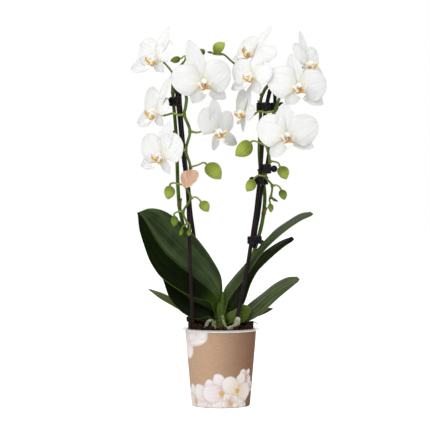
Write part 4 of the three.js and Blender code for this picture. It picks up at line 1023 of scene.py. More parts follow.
BUDS = {
    "bud_01": ((-52.5, -6, 398.5), (-1, 0, -0.25), 11.5, 8),
    "bud_02": ((-23, -8, 407.5), (-1, 0, 0.1), 10, 8),
    "bud_03": ((-1.5, -16, 412), (0.75, 0, 0.66), 16, 12.5),
    "bud_04": ((-8, -17, 269.5), (0.7, 0, -0.7), 23, 18),
    "bud_05": ((-59.5, -16, 245.5), (-0.15, 0, -1), 15.5, 13),
    "bud_06": ((-18.5, -18, 229.5), (0.6, 0, -0.8), 14, 12),
    "bud_07": ((-53.5, -17, 213), (0, 0, -1), 12, 9),
    "bud_08": ((-36.5, -20, 199.5), (-0.1, 0, -1), 7.5, 5.5),
    "bud_09": ((-45.5, -18, 200.5), (-0.3, 0, -1), 9, 4.6),
    "bud_10": ((25.5, -16, 295.5), (-0.75, 0, -0.66), 23, 18),
    "bud_11": ((71.5, -17, 268), (0.45, 0, -0.9), 16, 13.5),
    "bud_12": ((33.5, -17, 253.5), (-0.5, 0, -0.85), 15, 12.5),
    "bud_13": ((71, -17, 243), (0.35, 0, -0.94), 12, 9.5),
    "bud_14": ((57, -15, 228), (0.1, 0, -1), 10, 6.5),
}


def flower_axes(yaw, pitch):
    """Right, up and facing directions of a flower, as the columns of a matrix."""
    y, p = math.radians(yaw), math.radians(pitch)
    face = np.array([math.sin(y) * math.cos(p), -math.cos(y) * math.cos(p), math.sin(p)])
    right = np.array([math.cos(y), math.sin(y), 0])
    return np.stack([right, np.cross(face, right), face], axis=1)


def flower_seat(name, distance):
    spec = FLOWERS[name]
    return tuple(np.array(spec["at"]) - flower_axes(spec["yaw"], spec["pitch"])[:, 2] * distance)


def bud_seat(name, distance):
    at, tip, length, width = BUDS[name]
    return tuple(np.array(at) + unit(tip) * (-length / 2 - distance))

# %% Spike tables
SPIKES = {
    "spike_left": dict(
        climb=[(-2, 11, 112), (-8, 17, 126), (-16, 22, 138), (-25.5, 24, 153.5), (-36, 22, 179),
               (-42, 18.5, 200),
               (-45.5, 16.5, 216), (-47.5, 15, 225.5), (-49.5, 13, 248.5), (-50.5, 12, 277.5),
               (-51, 11, 299.5),
               (-53, 9, 330), (-55, 8, 353), (-55.5, 6.5, 369), (-53.5, 2, 379), (-49, -4, 382),
               (-44.5, -8, 376)],
        cascade=[(-44.5, -8, 376), (-42.5, -9, 366), (-39.5, -9, 354.5), (-40.5, -9.5, 344),
                 (-42, -10, 335.5),
                 (-35.5, -11, 316.5), (-40, -12, 294.5), (-35, -13, 275), (-38, -13.5, 262.5),
                 (-41, -14, 254.5),
                 (-34.5, -15, 239.5), (-43, -15.5, 223.5), (-38.5, -16.5, 210.5)],
        twigs=[[(-50.8, -1.6, 379.8), (-46.5, -5, 391), (-41.5, -4.5, 397.5), (-40, -4.5, 403),
                (-37.5, -5, 408.5)]],
        flowers={"flower_01": [(-53.5, 2, 379), (-57, 0, 385.5)],
                 "flower_02": [(-42.5, -9, 366), (-35, -15, 367)],
                 "flower_03": [(-42, -10, 335.5), (-48, -13.5, 334.5), (-54, -14, 336.5)],
                 "flower_04": [(-40, -12, 294.5), (-47, -16, 293)],
                 "flower_05": [(-35.5, -11, 316.5), (-27.5, -14, 314.5), (-19.5, -17, 316.5)]},
        buds={"bud_01": [(-40, -4.5, 403), (-43.5, -5, 402)],
              "bud_04": [(-35, -13, 275), (-26, -15, 277.5), (-20, -17, 280)],
              "bud_05": [(-41, -14, 254.5), (-48, -16, 255.5), (-54, -16.5, 256.8)],
              "bud_06": [(-34.5, -15, 239.5), (-28.5, -16, 240.5)],
              "bud_07": [(-43, -15.5, 223.5), (-48.5, -16.5, 224)],
              "bud_08": [(-38.5, -16.5, 210.5), (-35.5, -19, 208.5)],
              "bud_09": [(-38.5, -16.5, 210.5), (-41.5, -17.5, 207.5)]},
        joints=[138, 179, 232, 312, 361]),
    "spike_right": dict(
        climb=[(5, 10, 113), (9, 16, 121.5), (18, 18, 131), (29.5, 14.5, 145), (35, 13.5, 165), (41, 10, 185),
               (45, 8.5, 198.5), (48, 8, 211.5), (50, 8, 225.5), (51, 8, 239.5), (50, 8, 253.5),
               (46.5, 8, 269.5),
               (45, 7.5, 283.5), (44.5, 6.5, 298.5), (45.5, 5, 320.5), (46, 4, 339), (46.5, 3, 354),
               (51, 2, 365)],
        cascade=[(51, 2, 365), (58, 5, 373), (64, 6, 375.5), (68.5, 4, 371), (69.5, 0, 362), (66.5, -5, 352),
                 (62, -9, 339.5), (58, -12.5, 325), (55.5, -13, 313), (53, -13, 299), (56, -13, 282),
                 (51.5, -13, 264),
                 (58.5, -14, 254), (57.5, -14, 240.5)],
        twigs=[[(47, 3, 357), (42, 4, 365.5), (36, 4, 371.5), (29, 2, 379.5), (20.5, -1, 389.5),
                (11.5, -4, 397.5),
                (3, -6, 404.5), (-6.5, -7, 406), (-14.5, -7.5, 407)],
               [(57.5, -14, 240.5), (60.5, -14, 238), (64.5, -14, 236)]],
        flowers={"flower_06": [(36, 4, 371.5), (40, 14, 385)], "flower_07": [(36, 4, 371.5), (38, -8, 376)],
                 "flower_08": [(62, -9, 339.5), (52, -11.5, 337.5), (44, -12, 339)],
                 "flower_09": [(62, 5.2, 374), (72, 10, 384)], "flower_10": [(69.5, 0, 362), (77, -10, 363)],
                 "flower_11": [(58, -12.5, 325), (65, -22, 320)]},
        buds={"bud_03": [(3, -6, 404.5), (-3, -10, 404)],
              "bud_10": [(53, -13, 299), (45, -14.5, 302.5), (38, -15.5, 305)],
              "bud_11": [(56, -13, 282), (62, -14.5, 281), (66, -16, 279.5)],
              "bud_12": [(51.5, -13, 264), (43.5, -15, 265.5), (39.5, -16.5, 263.5)],
              "bud_13": [(58.5, -14, 254), (64.5, -15, 254)],
              "bud_14": [(57.5, -14, 240.5), (55.5, -14.5, 236.5)]},
        joints=[131, 165, 222, 268, 318, 352]),
}

# %% Stem parts
def near_height(line, z):
    return int(np.argmin(np.abs(line[:, 2] - z)))


def bract(shape, line, at, radius, length, way, finish=1):
    """A small pointed scale that clasps a stem at a joint and leans off it."""
    along = unit(line[min(at + 2, len(line) - 1)] - line[max(at - 2, 0)])
    out = unit(np.array(way, float) - along * np.dot(way, along))
    side = np.cross(along, out)
    rings, places = [], []
    for k, part in enumerate(np.linspace(0, 1, 9)):
        wrap = (1.25 * (1 - part) ** 0.7 + 0.04) * math.pi / 2
        reach = radius * 1.06 + 0.25 + 0.35 * length * part**2 * 0.6
        angles = np.linspace(-wrap, wrap, 9)
        centre = line[at] + along * (length * part - 0.5)
        outer = [centre + (out * math.cos(a) + side * math.sin(a)) * (reach + 0.35) for a in angles]
        inner = [centre + (out * math.cos(a) + side * math.sin(a)) * reach for a in angles[::-1]]
        rings.append(outer + inner)
        places.append([(part, j / 18) for j in range(19)])
    shape.skin(rings, places, finish)


def stem_radius(line, foot, tip, joints, swell=0.5):
    """Tapers from foot to tip and swells at the joints."""
    run = np.concatenate([[0], np.cumsum(np.linalg.norm(np.diff(line, axis=0), axis=1))])
    radius = foot + (tip - foot) * run / run[-1]
    for at in joints:
        radius = radius + swell * np.exp(-((run - run[at]) / 1.6) ** 2)
    return radius


def stalk(shape, route, finish=2, foot=1.5, thin=1.2, head=1.6):
    """A flower stalk: flared where it leaves the stem and thicker under the flower."""
    line = smooth_curve(route, step=1.3)
    part = np.linspace(0, 1, len(line))
    flare = np.clip((part - 0.6) / 0.4, 0, 1) ** 1.5
    radius = thin + (foot - thin) * np.exp(-part / 0.12) + (head - thin) * flare
    tube(shape, line, radius, 12, finish, rib=lambda angle, p: 1 + 0.06 * np.cos(3 * angle + 4 * p) * p)

# %% [markdown]
# The stems are dark green where they climb and paler where they hang; the stalks are pale lime.
# Bracts dry out to a reddish brown. Four finishes share one recipe, each with its own tones.

# %% Stem finishes
def stem_finish(name, deep, light, blush, amount, shine=0.48):
    stem = Finish(name, Roughness=shine, Specular_IOR_Level=0.2)
    where = stem.place()
    _, v = stem.surface()
    lines = stem.noise(stem.stretched(where, (1, 1, 0.12)), 1100, 3, 0.6)
    patch = stem.noise(where, 120, 3, 0.55)
    round_way = (v * 2 * math.pi).sine() * 0.5 + 0.5
    tone = stem.blend(patch.step(0.3, 0.7) * 0.6 + round_way * 0.3, deep, light)
    tone = stem.blend(lines.step(0.5, 0.8) * 0.35, tone, light)
    tone = stem.blend(patch.step(0.55, 0.72) * amount, tone, blush)
    stem.feed("Base Color", tone)
    stem.feed("Roughness", shine + lines * 0.15)
    stem.bump(lines, 0.3, 0.0003)
    return stem.material


stem_green = stem_finish("spike_stem", shade(48, 80, 16), shade(104, 140, 44), shade(70, 46, 34), 0.35)
bract_brown = stem_finish("dry_bract", shade(92, 74, 40), shade(150, 128, 74), shade(96, 48, 36), 0.7, 0.6)
stalk_lime = stem_finish("flower_stalk", shade(112, 134, 44), shade(170, 186, 96), shade(140, 130, 70), 0.3)
twig_green = stem_finish("cascade_stem", shade(66, 92, 22), shade(120, 144, 58), shade(88, 66, 38), 0.35)

# %% Building the spikes
for name, spec in SPIKES.items():
    spike = Shape()
    climb = smooth_curve(spec["climb"], step=1.5)
    knees = [near_height(climb[: int(len(climb) * 0.93)], z) for z in spec["joints"]]
    tube(spike, climb, stem_radius(climb, 2.5, 1.9, knees), 16, 0)
    for k, at in enumerate(knees):
        way = (-1 if k % 2 else 1, -0.6, 0)
        bract(spike, climb, at, 2.1, 8.5 if k < 3 else 6.5, way)
    cascade = smooth_curve(spec["cascade"], step=1.3)
    leaving = [list(via)[0] for via in list(spec["flowers"].values()) + list(spec["buds"].values())]
    bends = []
    for start in leaving:
        gap = np.linalg.norm(cascade - np.array(start), axis=1)
        if gap.min() < 1.5:
            bends.append(int(gap.argmin()))
    tube(spike, cascade, stem_radius(cascade, 2.0, 1.2, bends, 0.45), 14, 3)
    for route in spec["twigs"]:
        twig = smooth_curve(route, step=1.3)
        tube(spike, twig, stem_radius(twig, 1.35, 1.0, [0, len(twig) // 2, len(twig) - 3], 0.35), 12, 3)
    for flower, via in spec["flowers"].items():
        stalk(spike, [*via, flower_seat(flower, 12), flower_seat(flower, 6), flower_seat(flower, 1.8)])
    for bud, via in spec["buds"].items():
        small = BUDS[bud][3] < 7
        stalk(spike, [*via, bud_seat(bud, 2.5), bud_seat(bud, -0.4)], 3 if small else 2, 1.4, 1.0,
              1.1 if small else 1.35)
    for k, at in enumerate(sorted(set(bends))):
        gap = np.linalg.norm(np.array(leaving) - cascade[at], axis=1)
        via = (list(spec["flowers"].values()) + list(spec["buds"].values()))[int(gap.argmin())]
        way = np.array(via[1]) - np.array(via[0])
        bract(spike, cascade, max(at - 1, 0), 1.2, 4.2, way + np.array((0, -0.3, 0)))
    make_piece(name + "_growth", spike, [stem_green, bract_brown, stalk_lime, twig_green], "stem_green", name)

# %% [markdown]
# ## Buds
#
# A bud is an egg with three outer sepals folded edge to edge, so it has three shallow seams that
# meet at a blunt point, and faint ribs between them. The young ones are small and darker; ripe
# ones are pale lime. The skin is a lathe whose radius is shaped round the axis.

# %% Bud shape and finishes
def bud_shape(at, tip, length, width, phase):
    egg = Shape()
    rows, sides = 30, 36
    angle = np.linspace(0, 2 * math.pi, sides, endpoint=False)
    knots = np.array([(0.0, 0.17), (0.06, 0.3), (0.16, 0.41), (0.3, 0.485), (0.48, 0.49), (0.65, 0.43),
                      (0.8, 0.31), (0.92, 0.16), (1.0, 0.03)])
    rings, places = [], []
    for part in 0.5 - 0.5 * np.cos(np.linspace(0.0, math.pi, rows)):
        radius = np.interp(part, knots[:, 0], knots[:, 1])
        seam = np.abs((angle * 3 / (2 * math.pi) + phase) % 1 - 0.5) * 2
        groove = 0.07 * np.exp(-((1 - seam) / 0.12) ** 2) * math.sin(math.pi * part)
        swell = 1 - groove + 0.012 * np.cos(15 * angle)
        r = width * radius * swell
        lean = 0.05 * width * math.sin(math.pi * part)
        rings.append(np.stack([r * np.cos(angle) + lean, r * np.sin(angle),
                               np.full(sides, (part - 0.5) * length)], axis=1))
        places.append([(part, j / sides) for j in range(sides + 1)])
    egg.skin(rings, places)
    axis = unit(tip)
    side = unit(np.cross(axis, (0.0, 1.0, 0.0)))
    egg.moved(0, np.stack([side, np.cross(axis, side), axis], axis=1), at)
    return egg


def bud_finish(name, ground, glow, stain):
    skin = Finish(name, Roughness=0.5, Specular_IOR_Level=0.2, Subsurface_Weight=0.1, Subsurface_Scale=0.001)
    where = skin.place()
    u, v = skin.surface()
    ribs = (v * 2 * math.pi * 15).sine() * 0.5 + 0.5
    mottle = skin.noise(where, 260, 4, 0.6)
    tone = skin.blend(u.step(0.1, 0.7) * 0.7 + mottle * 0.2, ground, glow)
    tone = skin.blend(ribs.step(0.2, 0.9) * 0.55 * (1.1 - u), tone, ground)
    tone = skin.blend((u.step(0.24, 0.0) * 0.6 + mottle.step(0.55, 0.75) * 0.2).clamped(), tone, stain)
    skin.feed("Base Color", tone)
    skin.bump(ribs * 0.6 + mottle * 0.4, 0.4, 0.0004)
    return skin.material


ripe = bud_finish("ripe_bud_skin", shade(108, 130, 30), shade(186, 198, 92), shade(146, 126, 74))
green = bud_finish("green_bud_skin", shade(76, 104, 20), shade(140, 160, 58), shade(92, 78, 40))
for number, (name, (at, tip, length, width)) in enumerate(BUDS.items()):
    small = width < 10
    egg = bud_shape(at, tip, length, width, number * 0.27)
    make_piece(name + "_egg", egg, [green if small else ripe], "bud_green", name)

# %% [markdown]
# ## Flowers
#
# A moth orchid's flower has three sepals at the back, two broad petals before them, and in the
# middle a lip with two upright side lobes, a tongue with whiskers and a warty callus, under a
# short column. Everything is modelled in the flower's own frame, with x to its right, y to its
# crown and z to its face, and then turned into place. Each petal is a thin two-sided sheet that
# is cupped, arched back and softly ruffled along its margin.

# %% Petal sheets
def petal_form(part, narrow, blunt, fullest):
    """Half width along a petal from claw to tip, as a share of its greatest half width."""
    body = np.sin(math.pi * np.clip(part, 0, 1) ** fullest) ** blunt
    claw = narrow + (1 - narrow) * np.clip(part / 0.3, 0, 1) ** 0.8
    return np.maximum(body * claw, 0.02)


def petal(shape, angle, reach, width, layer, bend, form, cup=0.0, sweep=0.0, ruffle=0.6, pinch=0.0, seed=0.0,
          finish=0,
          rows=30, columns=19, thick=0.7):
    a = math.radians(angle)
    out, across = np.array([math.sin(a), math.cos(a), 0]), np.array([math.cos(a), -math.sin(a), 0])
    s = np.linspace(0, 1, rows)
    part = 1 - (1 - s) ** 1.7
    v = np.sin(np.linspace(-math.pi / 2, math.pi / 2, columns))
    half = width / 2 * petal_form(part, *form)
    rings, places = [], []
    for i in range(rows):
        t = part[i]
        drift = sweep * t**2
        keel = 0.6 * np.exp(-(v / 0.16) ** 2) * math.sin(math.pi * t) * 0.5
        z = layer + bend * t**2 + cup * half[i] * v**2 * 0.12 - keel
        fade = math.sin(math.pi * min(t * 1.1, 1))
        z = z + ruffle * np.abs(v) ** 3 * np.sin(7.5 * t + seed + 1.3 * v) * fade
        z = z - pinch * t**4 * (1 - v**2)
        face = out * (1.6 + (reach - 1.6) * t) + np.outer(v * half[i] + drift, across)
        face[:, 2] += z
        body = thick * np.sqrt(np.maximum(0, 1 - v**2)) * (0.35 + 0.65 * (1 - t) ** 0.5) / 2
        top, under = face.copy(), face.copy()
        top[:, 2] += body
        under[:, 2] -= body
        rings.append(np.vstack([top, under[-2:0:-1]]))
        w = (v + 1) / 2
        places.append([(t, x) for x in w] + [(t, 2 - x) for x in w[-2:0:-1]] + [(t, 2.0)])
    shape.skin(rings, places, finish)


def ribbon(shape, spine, half, up, cup, finish, thick=0.7, columns=11):
    """A small curved blade along a spine: half is its half width, up the side it cups towards."""
    line = smooth_curve(spine, count=16)
    part = np.linspace(0, 1, 16)
    half = np.interp(part, np.linspace(0, 1, len(half)), half)
    along = unit(np.gradient(line, axis=0))
    across = unit(np.cross(along, np.array(up, float)))
    normal = np.cross(across, along)
    v = np.sin(np.linspace(-math.pi / 2, math.pi / 2, columns))
    rings, places = [], []
    for i in range(16):
        face = line[i] + np.outer(v * half[i], across[i]) + np.outer(cup * half[i] * v**2, normal[i])
        body = np.outer(thick / 2 * np.sqrt(np.maximum(0, 1 - v**2)), normal[i])
        rings.append(np.vstack([face + body, (face - body)[-2:0:-1]]))
        w = (v + 1) / 2
        places.append([(part[i], x) for x in w] + [(part[i], 2 - x) for x in w[-2:0:-1]] + [(part[i], 2.0)])
    shape.skin(rings, places, finish)


def ball(shape, at, size, finish, rows=10, sides=14):
    """A small smooth lump."""
    angle = np.linspace(0, 2 * math.pi, sides, endpoint=False)
    rings, places = [], []
    for i in range(rows):
        p = math.pi * (i + 0.5) / rows
        rings.append(np.stack([at[0] + size[0] * math.sin(p) * np.cos(angle),
                               at[1] + size[1] * math.sin(p) * np.sin(angle),
                               np.full(sides, at[2] - size[2] * math.cos(p))], axis=1))
        places.append([(i / rows, j / sides) for j in range(sides + 1)])
    shape.skin(rings, places, finish)

# %% The parts of a flower
PETAL, LOBE, TONGUE, COLUMN, CALLUS, CAP = range(6)
SEPAL_FORM = (0.55, 0.6, 0.92)
BROAD_FORM = (0.3, 0.4, 0.8)


def lip_shape(bloom, drop):
    """Side lobes, tongue, whiskers and callus; all but the claw hang lower by drop."""
    def low(points):
        return [(x, y - drop * min(1, z / 6), z) for x, y, z in points]
    for sign in (1, -1):
        lobe = [(sign * 1.2, -2.2, 1.0), (sign * 4.4, -2.6, 4.5), (sign * 7.2, -0.4, 8.0),
                (sign * 8.0, 2.6, 11.0), (sign * 6.6, 5.0, 13.0)]
        ribbon(bloom, low(lobe), [1.4, 3.6, 4.9, 4.0, 0.6], (-sign * 1.0, 0.9, 0.0), 0.35, LOBE)
    ribbon(bloom, low([(0, -2.4, 1.5), (0, -3.6, 5.5), (0, -5.4, 9.5), (0, -8.2, 11.8), (0, -10.8, 12.4)]),
           [2.8, 4.2, 6.2, 4.2, 1.0], (0, 1, 0.4), -0.25, TONGUE)
    for sign in (1, -1):
        whisker = smooth_curve(low([(sign * 0.5, -10.4, 12.4), (sign * 2.0, -11.8, 13.4),
                                    (sign * 3.8, -11.2, 14.8), (sign * 4.2, -9.6, 15.2)]),
                               step=0.5)
        tube(bloom, whisker, np.linspace(0.42, 0.14, len(whisker)), 8, COLUMN)
        ball(bloom, low([(sign * 1.5, -2.0, 6.0)])[0], (1.4, 1.5, 1.9), CALLUS)


def column_shape(bloom):
    column = smooth_curve([(0, 0.3, -3.0), (0, 1.2, 1.5), (0, 2.4, 5.5), (0, 1.8, 8.6)], count=14)
    tube(bloom, column, np.interp(np.linspace(0, 1, 14), (0, 0.3, 0.75, 1), (3.0, 2.6, 3.1, 2.4)), 16, COLUMN)
    ball(bloom, (0, 1.1, 9.6), (2.2, 2.0, 1.6), COLUMN)
    ball(bloom, (0, -0.5, 10.2), (0.8, 0.7, 0.8), CAP)


def flower_shape(at, yaw, pitch, size, drop, lean, blades, seed=0.0):
    bloom = Shape()
    wave = random.Random(int(seed * 100))
    for k in (0, 3, 4):
        angle, reach, width = blades[k]
        petal(bloom, angle, reach, width, (-1.6, 0, 0, -1.8, -1.9)[k], -3.0 if k == 0 else -4.0, SEPAL_FORM,
              cup=0.8, ruffle=0.9, pinch=-0.6 if k == 0 else 1.2, seed=seed + wave.uniform(0, 6),
              finish=PETAL)
    for k in (1, 2):
        angle, reach, width = blades[k]
        petal(bloom, angle, reach, width, 0.3, -4.5, BROAD_FORM, cup=-0.7, sweep=(0, -1.5, 1.5)[k],
              ruffle=1.5, pinch=0.8, seed=seed + wave.uniform(0, 6), rows=34, columns=25, finish=PETAL)
    middle = len(bloom.points)
    lip_shape(bloom, drop)
    column_shape(bloom)
    c, s = math.cos(math.radians(lean)), math.sin(math.radians(lean))
    bloom.moved(middle, np.array([(c, s, 0), (-s, c, 0), (0, 0, 1)]), (0, 0, 0))
    bloom.points = (np.array(bloom.points) * size).tolist()
    bloom.moved(0, flower_axes(yaw, pitch), at)
    return bloom

# %% [markdown]
# Petals are not plain white. They are faintly cream-green at the claw, a trace warmer on the back, and fine
# grey veins fan from the claw to the margin, partly the petal's own veins and partly painted shade. A grey
# margin and grey bands over the soft folds are painted shade too. A little light passes through the petals,
# so a small constant subsurface share is set on the shader. The lip carries the colour: golden bars on the
# side lobes and the tongue, fine orange lines, a reddish throat and a red-spotted callus.

# %% Petal finish
petal_finish = Finish("white_petal", Roughness=0.55, Specular_IOR_Level=0.25, Subsurface_Weight=0.25,
                      Subsurface_Scale=0.0015,
                      Sheen_Weight=0.06)
petal_finish.shader.inputs["Subsurface Radius"].default_value = (1.0, 0.95, 0.85)
u, v = petal_finish.surface()
across = 1.0 - abs(1.0 - v)
back = v.step(1.0, 1.02)
fan = petal_finish.node("ShaderNodeCombineXYZ", values={0: u * 1.4, 1: across * 17.0, 2: 0.0})
veins = petal_finish.noise(fan, 1.5, 3, 0.6, warp=0.4)
web = petal_finish.noise(petal_finish.place(), 380, 3, 0.6)
folds = petal_finish.noise(petal_finish.node("ShaderNodeCombineXYZ",
                                             values={0: u * 1.1, 1: across * 6.0, 2: 0.0}), 1.3, 2, 0.5)
tone = petal_finish.blend(u.step(0.4, 0.0) * 0.75, shade(246, 246, 245), shade(232, 232, 208))
tone = petal_finish.blend(u.step(0.14, 0.0) * 0.6, tone, shade(216, 216, 170))
# fine grey veins: partly the petal's own veins, partly painted shade
tone = petal_finish.blend(veins.step(0.42, 0.75) * 0.3, tone, shade(216, 216, 208))
# a grey margin round the sides and tip: painted shade at the thin edges
rim = across.step(0.06, 0.0).bigger(across.step(0.94, 1.0)).bigger(u.step(0.93, 1.0))
tone = petal_finish.blend(rim * 0.45, tone, shade(214, 216, 206))
tone = petal_finish.blend(back * 0.35, tone, shade(230, 231, 216))
# grey bands over the soft folds: painted shade
tone = petal_finish.blend(folds.step(0.46, 0.7) * 0.35, tone, shade(226, 227, 222))
petal_finish.feed("Base Color", tone)
petal_finish.feed("Roughness", 0.5 + web * 0.15)
petal_finish.bump(folds + veins * 0.5 + web * 0.1, 0.6, 0.0016)

# %% Lip finishes
lobe_finish = Finish("side_lobe", Roughness=0.45, Subsurface_Weight=0.15, Subsurface_Scale=0.001)
u, v = lobe_finish.surface()
across = 1.0 - abs(1.0 - v)
lines = (across * 44.0).sine() * 0.5 + 0.5
speck = lobe_finish.noise(lobe_finish.place(), 1500, 2, 0.5)
gold = u.step(0.86, 0.66) * u.step(0.1, 0.24) * across.step(0.2, 0.32) * across.step(0.8, 0.66)
tone = lobe_finish.blend(gold, shade(252, 248, 240), shade(226, 184, 36))
tone = lobe_finish.blend(u.step(0.5, 0.3) * lines.step(0.75, 0.98) * 0.55, tone, shade(216, 112, 40))
throat = u.step(0.2, 0.06) * 0.6 + speck.step(0.6, 0.66) * u.step(0.45, 0.25) * 0.5
tone = lobe_finish.blend(throat.clamped(), tone, shade(180, 70, 50))
lobe_finish.feed("Base Color", tone)
lobe_finish.bump(speck, 0.2, 0.0003)

tongue_finish = Finish("lip_tongue", Roughness=0.45, Subsurface_Weight=0.15, Subsurface_Scale=0.001)
u, v = tongue_finish.surface()
speck = tongue_finish.noise(tongue_finish.place(), 1300, 2, 0.5)
across = 1.0 - abs(1.0 - v)
bar = across.step(0.14, 0.24) * across.step(0.46, 0.38) + across.step(0.54, 0.62) * across.step(0.86, 0.76)
tone = tongue_finish.blend(u.step(0.6, 0.42) * bar, shade(252, 248, 240), shade(228, 180, 36))
tone = tongue_finish.blend(u.step(0.2, 0.06) * 0.6, tone, shade(190, 80, 40))
tone = tongue_finish.blend(speck.step(0.58, 0.66) * u.step(0.5, 0.25) * 0.8, tone, shade(150, 40, 26))
tongue_finish.feed("Base Color", tone)
tongue_finish.bump(speck, 0.3, 0.0003)

callus_finish = Finish("spotted_callus", Roughness=0.35, Coat_Weight=0.3)
speck = callus_finish.noise(callus_finish.place(), 1400, 2, 0.5)
callus_finish.feed("Base Color", callus_finish.blend(speck.step(0.55, 0.62), shade(232, 180, 36),
                                                     shade(170, 70, 44)))
callus_finish.bump(speck, 0.4, 0.0004)

column_finish = Finish("white_column", Roughness=0.4, Subsurface_Weight=0.2, Subsurface_Scale=0.001)
where = column_finish.place()
tint = column_finish.noise(where, 420, 3, 0.6)
column_finish.feed("Base Color", column_finish.blend(tint.step(0.5, 0.8) * 0.4, shade(250, 248, 245),
                                                     shade(232, 200, 204)))
column_finish.bump(tint, 0.15, 0.0003)

cap_finish = Finish("magenta_spot", Roughness=0.4)
tint = cap_finish.noise(cap_finish.place(), 1600, 2, 0.5)
cap_finish.feed("Base Color", cap_finish.blend(tint.step(0.3, 0.7), shade(150, 36, 82), shade(192, 74, 118)))
cap_finish.bump(tint, 0.2, 0.0002)

flower_finishes = [f.material for f in (petal_finish, lobe_finish, tongue_finish, column_finish,
                                        callus_finish, cap_finish)]

# %% Building the flowers
for number, (name, spec) in enumerate(FLOWERS.items()):
    bloom = flower_shape(**spec, seed=number * 1.37)
    make_piece(name + "_bloom", bloom, flower_finishes, "petal_white", name)

# %% [markdown]
# ## Clips
#
# Small black spring clips hold stems and stakes together. A clip is a row of ribbed sleeves, one
# round each rod, bridged by a web, with a ribbed thumb knob to pinch it open. The sleeves follow
# the rods' own lines, so they are built from the crossing points at the clip's height.

# %% Clip shapes
CLIPS = {
    "clip_left_top": (351, 10.5, ["spike_left", "stake_left_front"], (-62.5, 3.5, 351, 4)),
    "clip_right_top": (344.5, 10, ["spike_right", "stake_right_front", "stake_right_rear"],
                       (70, 6, 347.5, 3)),
    "clip_right_middle": (273, 11, ["stake_right_rear", "spike_right cascade"], (61, -10, 273, 4)),
    "clip_right_lower": (259.5, 9.5, ["stake_right_front", "stake_right_rear"], (36, -6.5, 260.5, 3.5)),
    "clip_right_base": (191, 9, ["stake_right_front", "stake_right_rear", "spike_right"], (47.5, 14, 188, 3)),
}


def held(label, z):
    """Centre and radius of the rod that a clip holds, where it passes height z."""
    owner = label.split()[0]
    if owner in STAKES:
        radius, route = STAKES[owner]
    elif label.endswith("cascade"):
        radius, route = 1.7, SPIKES[owner]["cascade"]
    else:
        radius, route = 2.2, SPIKES[owner]["climb"]
    line = smooth_curve(route, step=0.8)
    line = line[line[:, 2] < 375]
    point = line[near_height(line, z)].copy()
    point[2] = z
    return point, radius


def sleeve(shape, centre, radius, height):
    """A ring with a rounded rim and grip ribs round it."""
    inner, outer = radius + 0.35, radius + 2.3
    low, high = centre[2] - height / 2, centre[2] + height / 2
    profile = [(inner, low + 0.4), (inner + 0.3, low), (outer - 0.4, low), (outer, low + 0.4)]
    bands = 4
    for k in range(bands):
        z0 = low + 0.4 + (high - low - 0.8) * k / bands
        z1 = low + 0.4 + (high - low - 0.8) * (k + 1) / bands
        profile += [(outer, z0 + 0.15), (outer + 0.55, z0 + 0.45), (outer + 0.55, z1 - 0.55),
                    (outer, z1 - 0.2)]
    profile += [(outer - 0.4, high), (inner + 0.3, high), (inner, high - 0.4), (inner, low + 0.4)]
    angle = np.linspace(0, 2 * math.pi, 28, endpoint=False)
    rings, places = [], []
    for r, z in profile:
        rings.append(np.stack([centre[0] + r * np.cos(angle), centre[1] + r * np.sin(angle), np.full(28, z)],
                              axis=1))
        places.append([(j / 28, z / 10) for j in range(29)])
    shape.skin(rings, places, ends=False)


def bridge(shape, a, b, thick, height):
    """A web with rounded edges between two points."""
    x = unit(np.array([b[0] - a[0], b[1] - a[1], 0]))
    y = np.array([-x[1], x[0], 0])
    corner = [(-1, -0.7), (-0.7, -1), (0.7, -1), (1, -0.7), (1, 0.7), (0.7, 1), (-0.7, 1), (-1, 0.7)]
    rings, places = [], []
    for k, part in enumerate((0.0, 0.25, 0.5, 0.75, 1.0)):
        waist = 1 - 0.25 * math.sin(math.pi * part)
        centre = a + (b - a) * part
        rings.append([centre + y * (p * thick / 2) + np.array([0, 0, q * height / 2 * waist])
                      for p, q in corner])
        places.append([(part, j / 8) for j in range(9)])
    shape.skin(rings, places)


def knob(shape, centre, radius):
    """A flattened thumb knob with three ribs."""
    angle = np.linspace(0, 2 * math.pi, 24, endpoint=False)
    rings, places = [], []
    for p in np.linspace(0.08, math.pi - 0.08, 18):
        r = radius * math.sin(p) * (1 + 0.07 * math.cos(12 * p))
        rings.append(np.stack([centre[0] + r * np.cos(angle), centre[1] + 0.75 * r * np.sin(angle),
                               np.full(24, centre[2] - radius * math.cos(p))], axis=1))
        places.append([(j / 24, p) for j in range(25)])
    shape.skin(rings, places)


clip_finish = Finish("black_clip_plastic", Roughness=0.4, Specular_IOR_Level=0.25)
grain = clip_finish.noise(clip_finish.place(), 1300, 3, 0.6)
wear = clip_finish.noise(clip_finish.place(), 350, 3, 0.6)
clip_finish.feed("Base Color", clip_finish.blend(wear.step(0.5, 0.8) * 0.6, shade(14, 14, 15),
                                                 shade(66, 66, 70)))
clip_finish.feed("Roughness", 0.3 + grain * 0.25)
clip_finish.bump(grain, 0.2, 0.0002)

for name, (z, height, rods, grip) in CLIPS.items():
    clip = Shape()
    found = [held(label, z) for label in rods]
    for centre, radius in found:
        sleeve(clip, centre, radius, height)
    for (a, _), (b, _) in zip(found, found[1:]):
        bridge(clip, a, b, 3.0, height * 0.72)
    thumb = np.array(grip[:3], float)
    nearest = min((c for c, _ in found), key=lambda c: np.linalg.norm(c - thumb))
    bridge(clip, nearest, thumb, 2.6, 3.2)
    knob(clip, thumb, grip[3])
    make_piece(name + "_spring", clip, [clip_finish.material], "black_clip", name, sharp=45)

# %% [markdown]
# ## The shell tag
#
# A small salmon card tag, cut like a scallop shell, hangs before the left cascade. Its folds fan
# from the lower left corner, so the sheet is a fan of ridges: the outline sets how far each fold
# runs, and the ridges lift the face by half a millimetre.

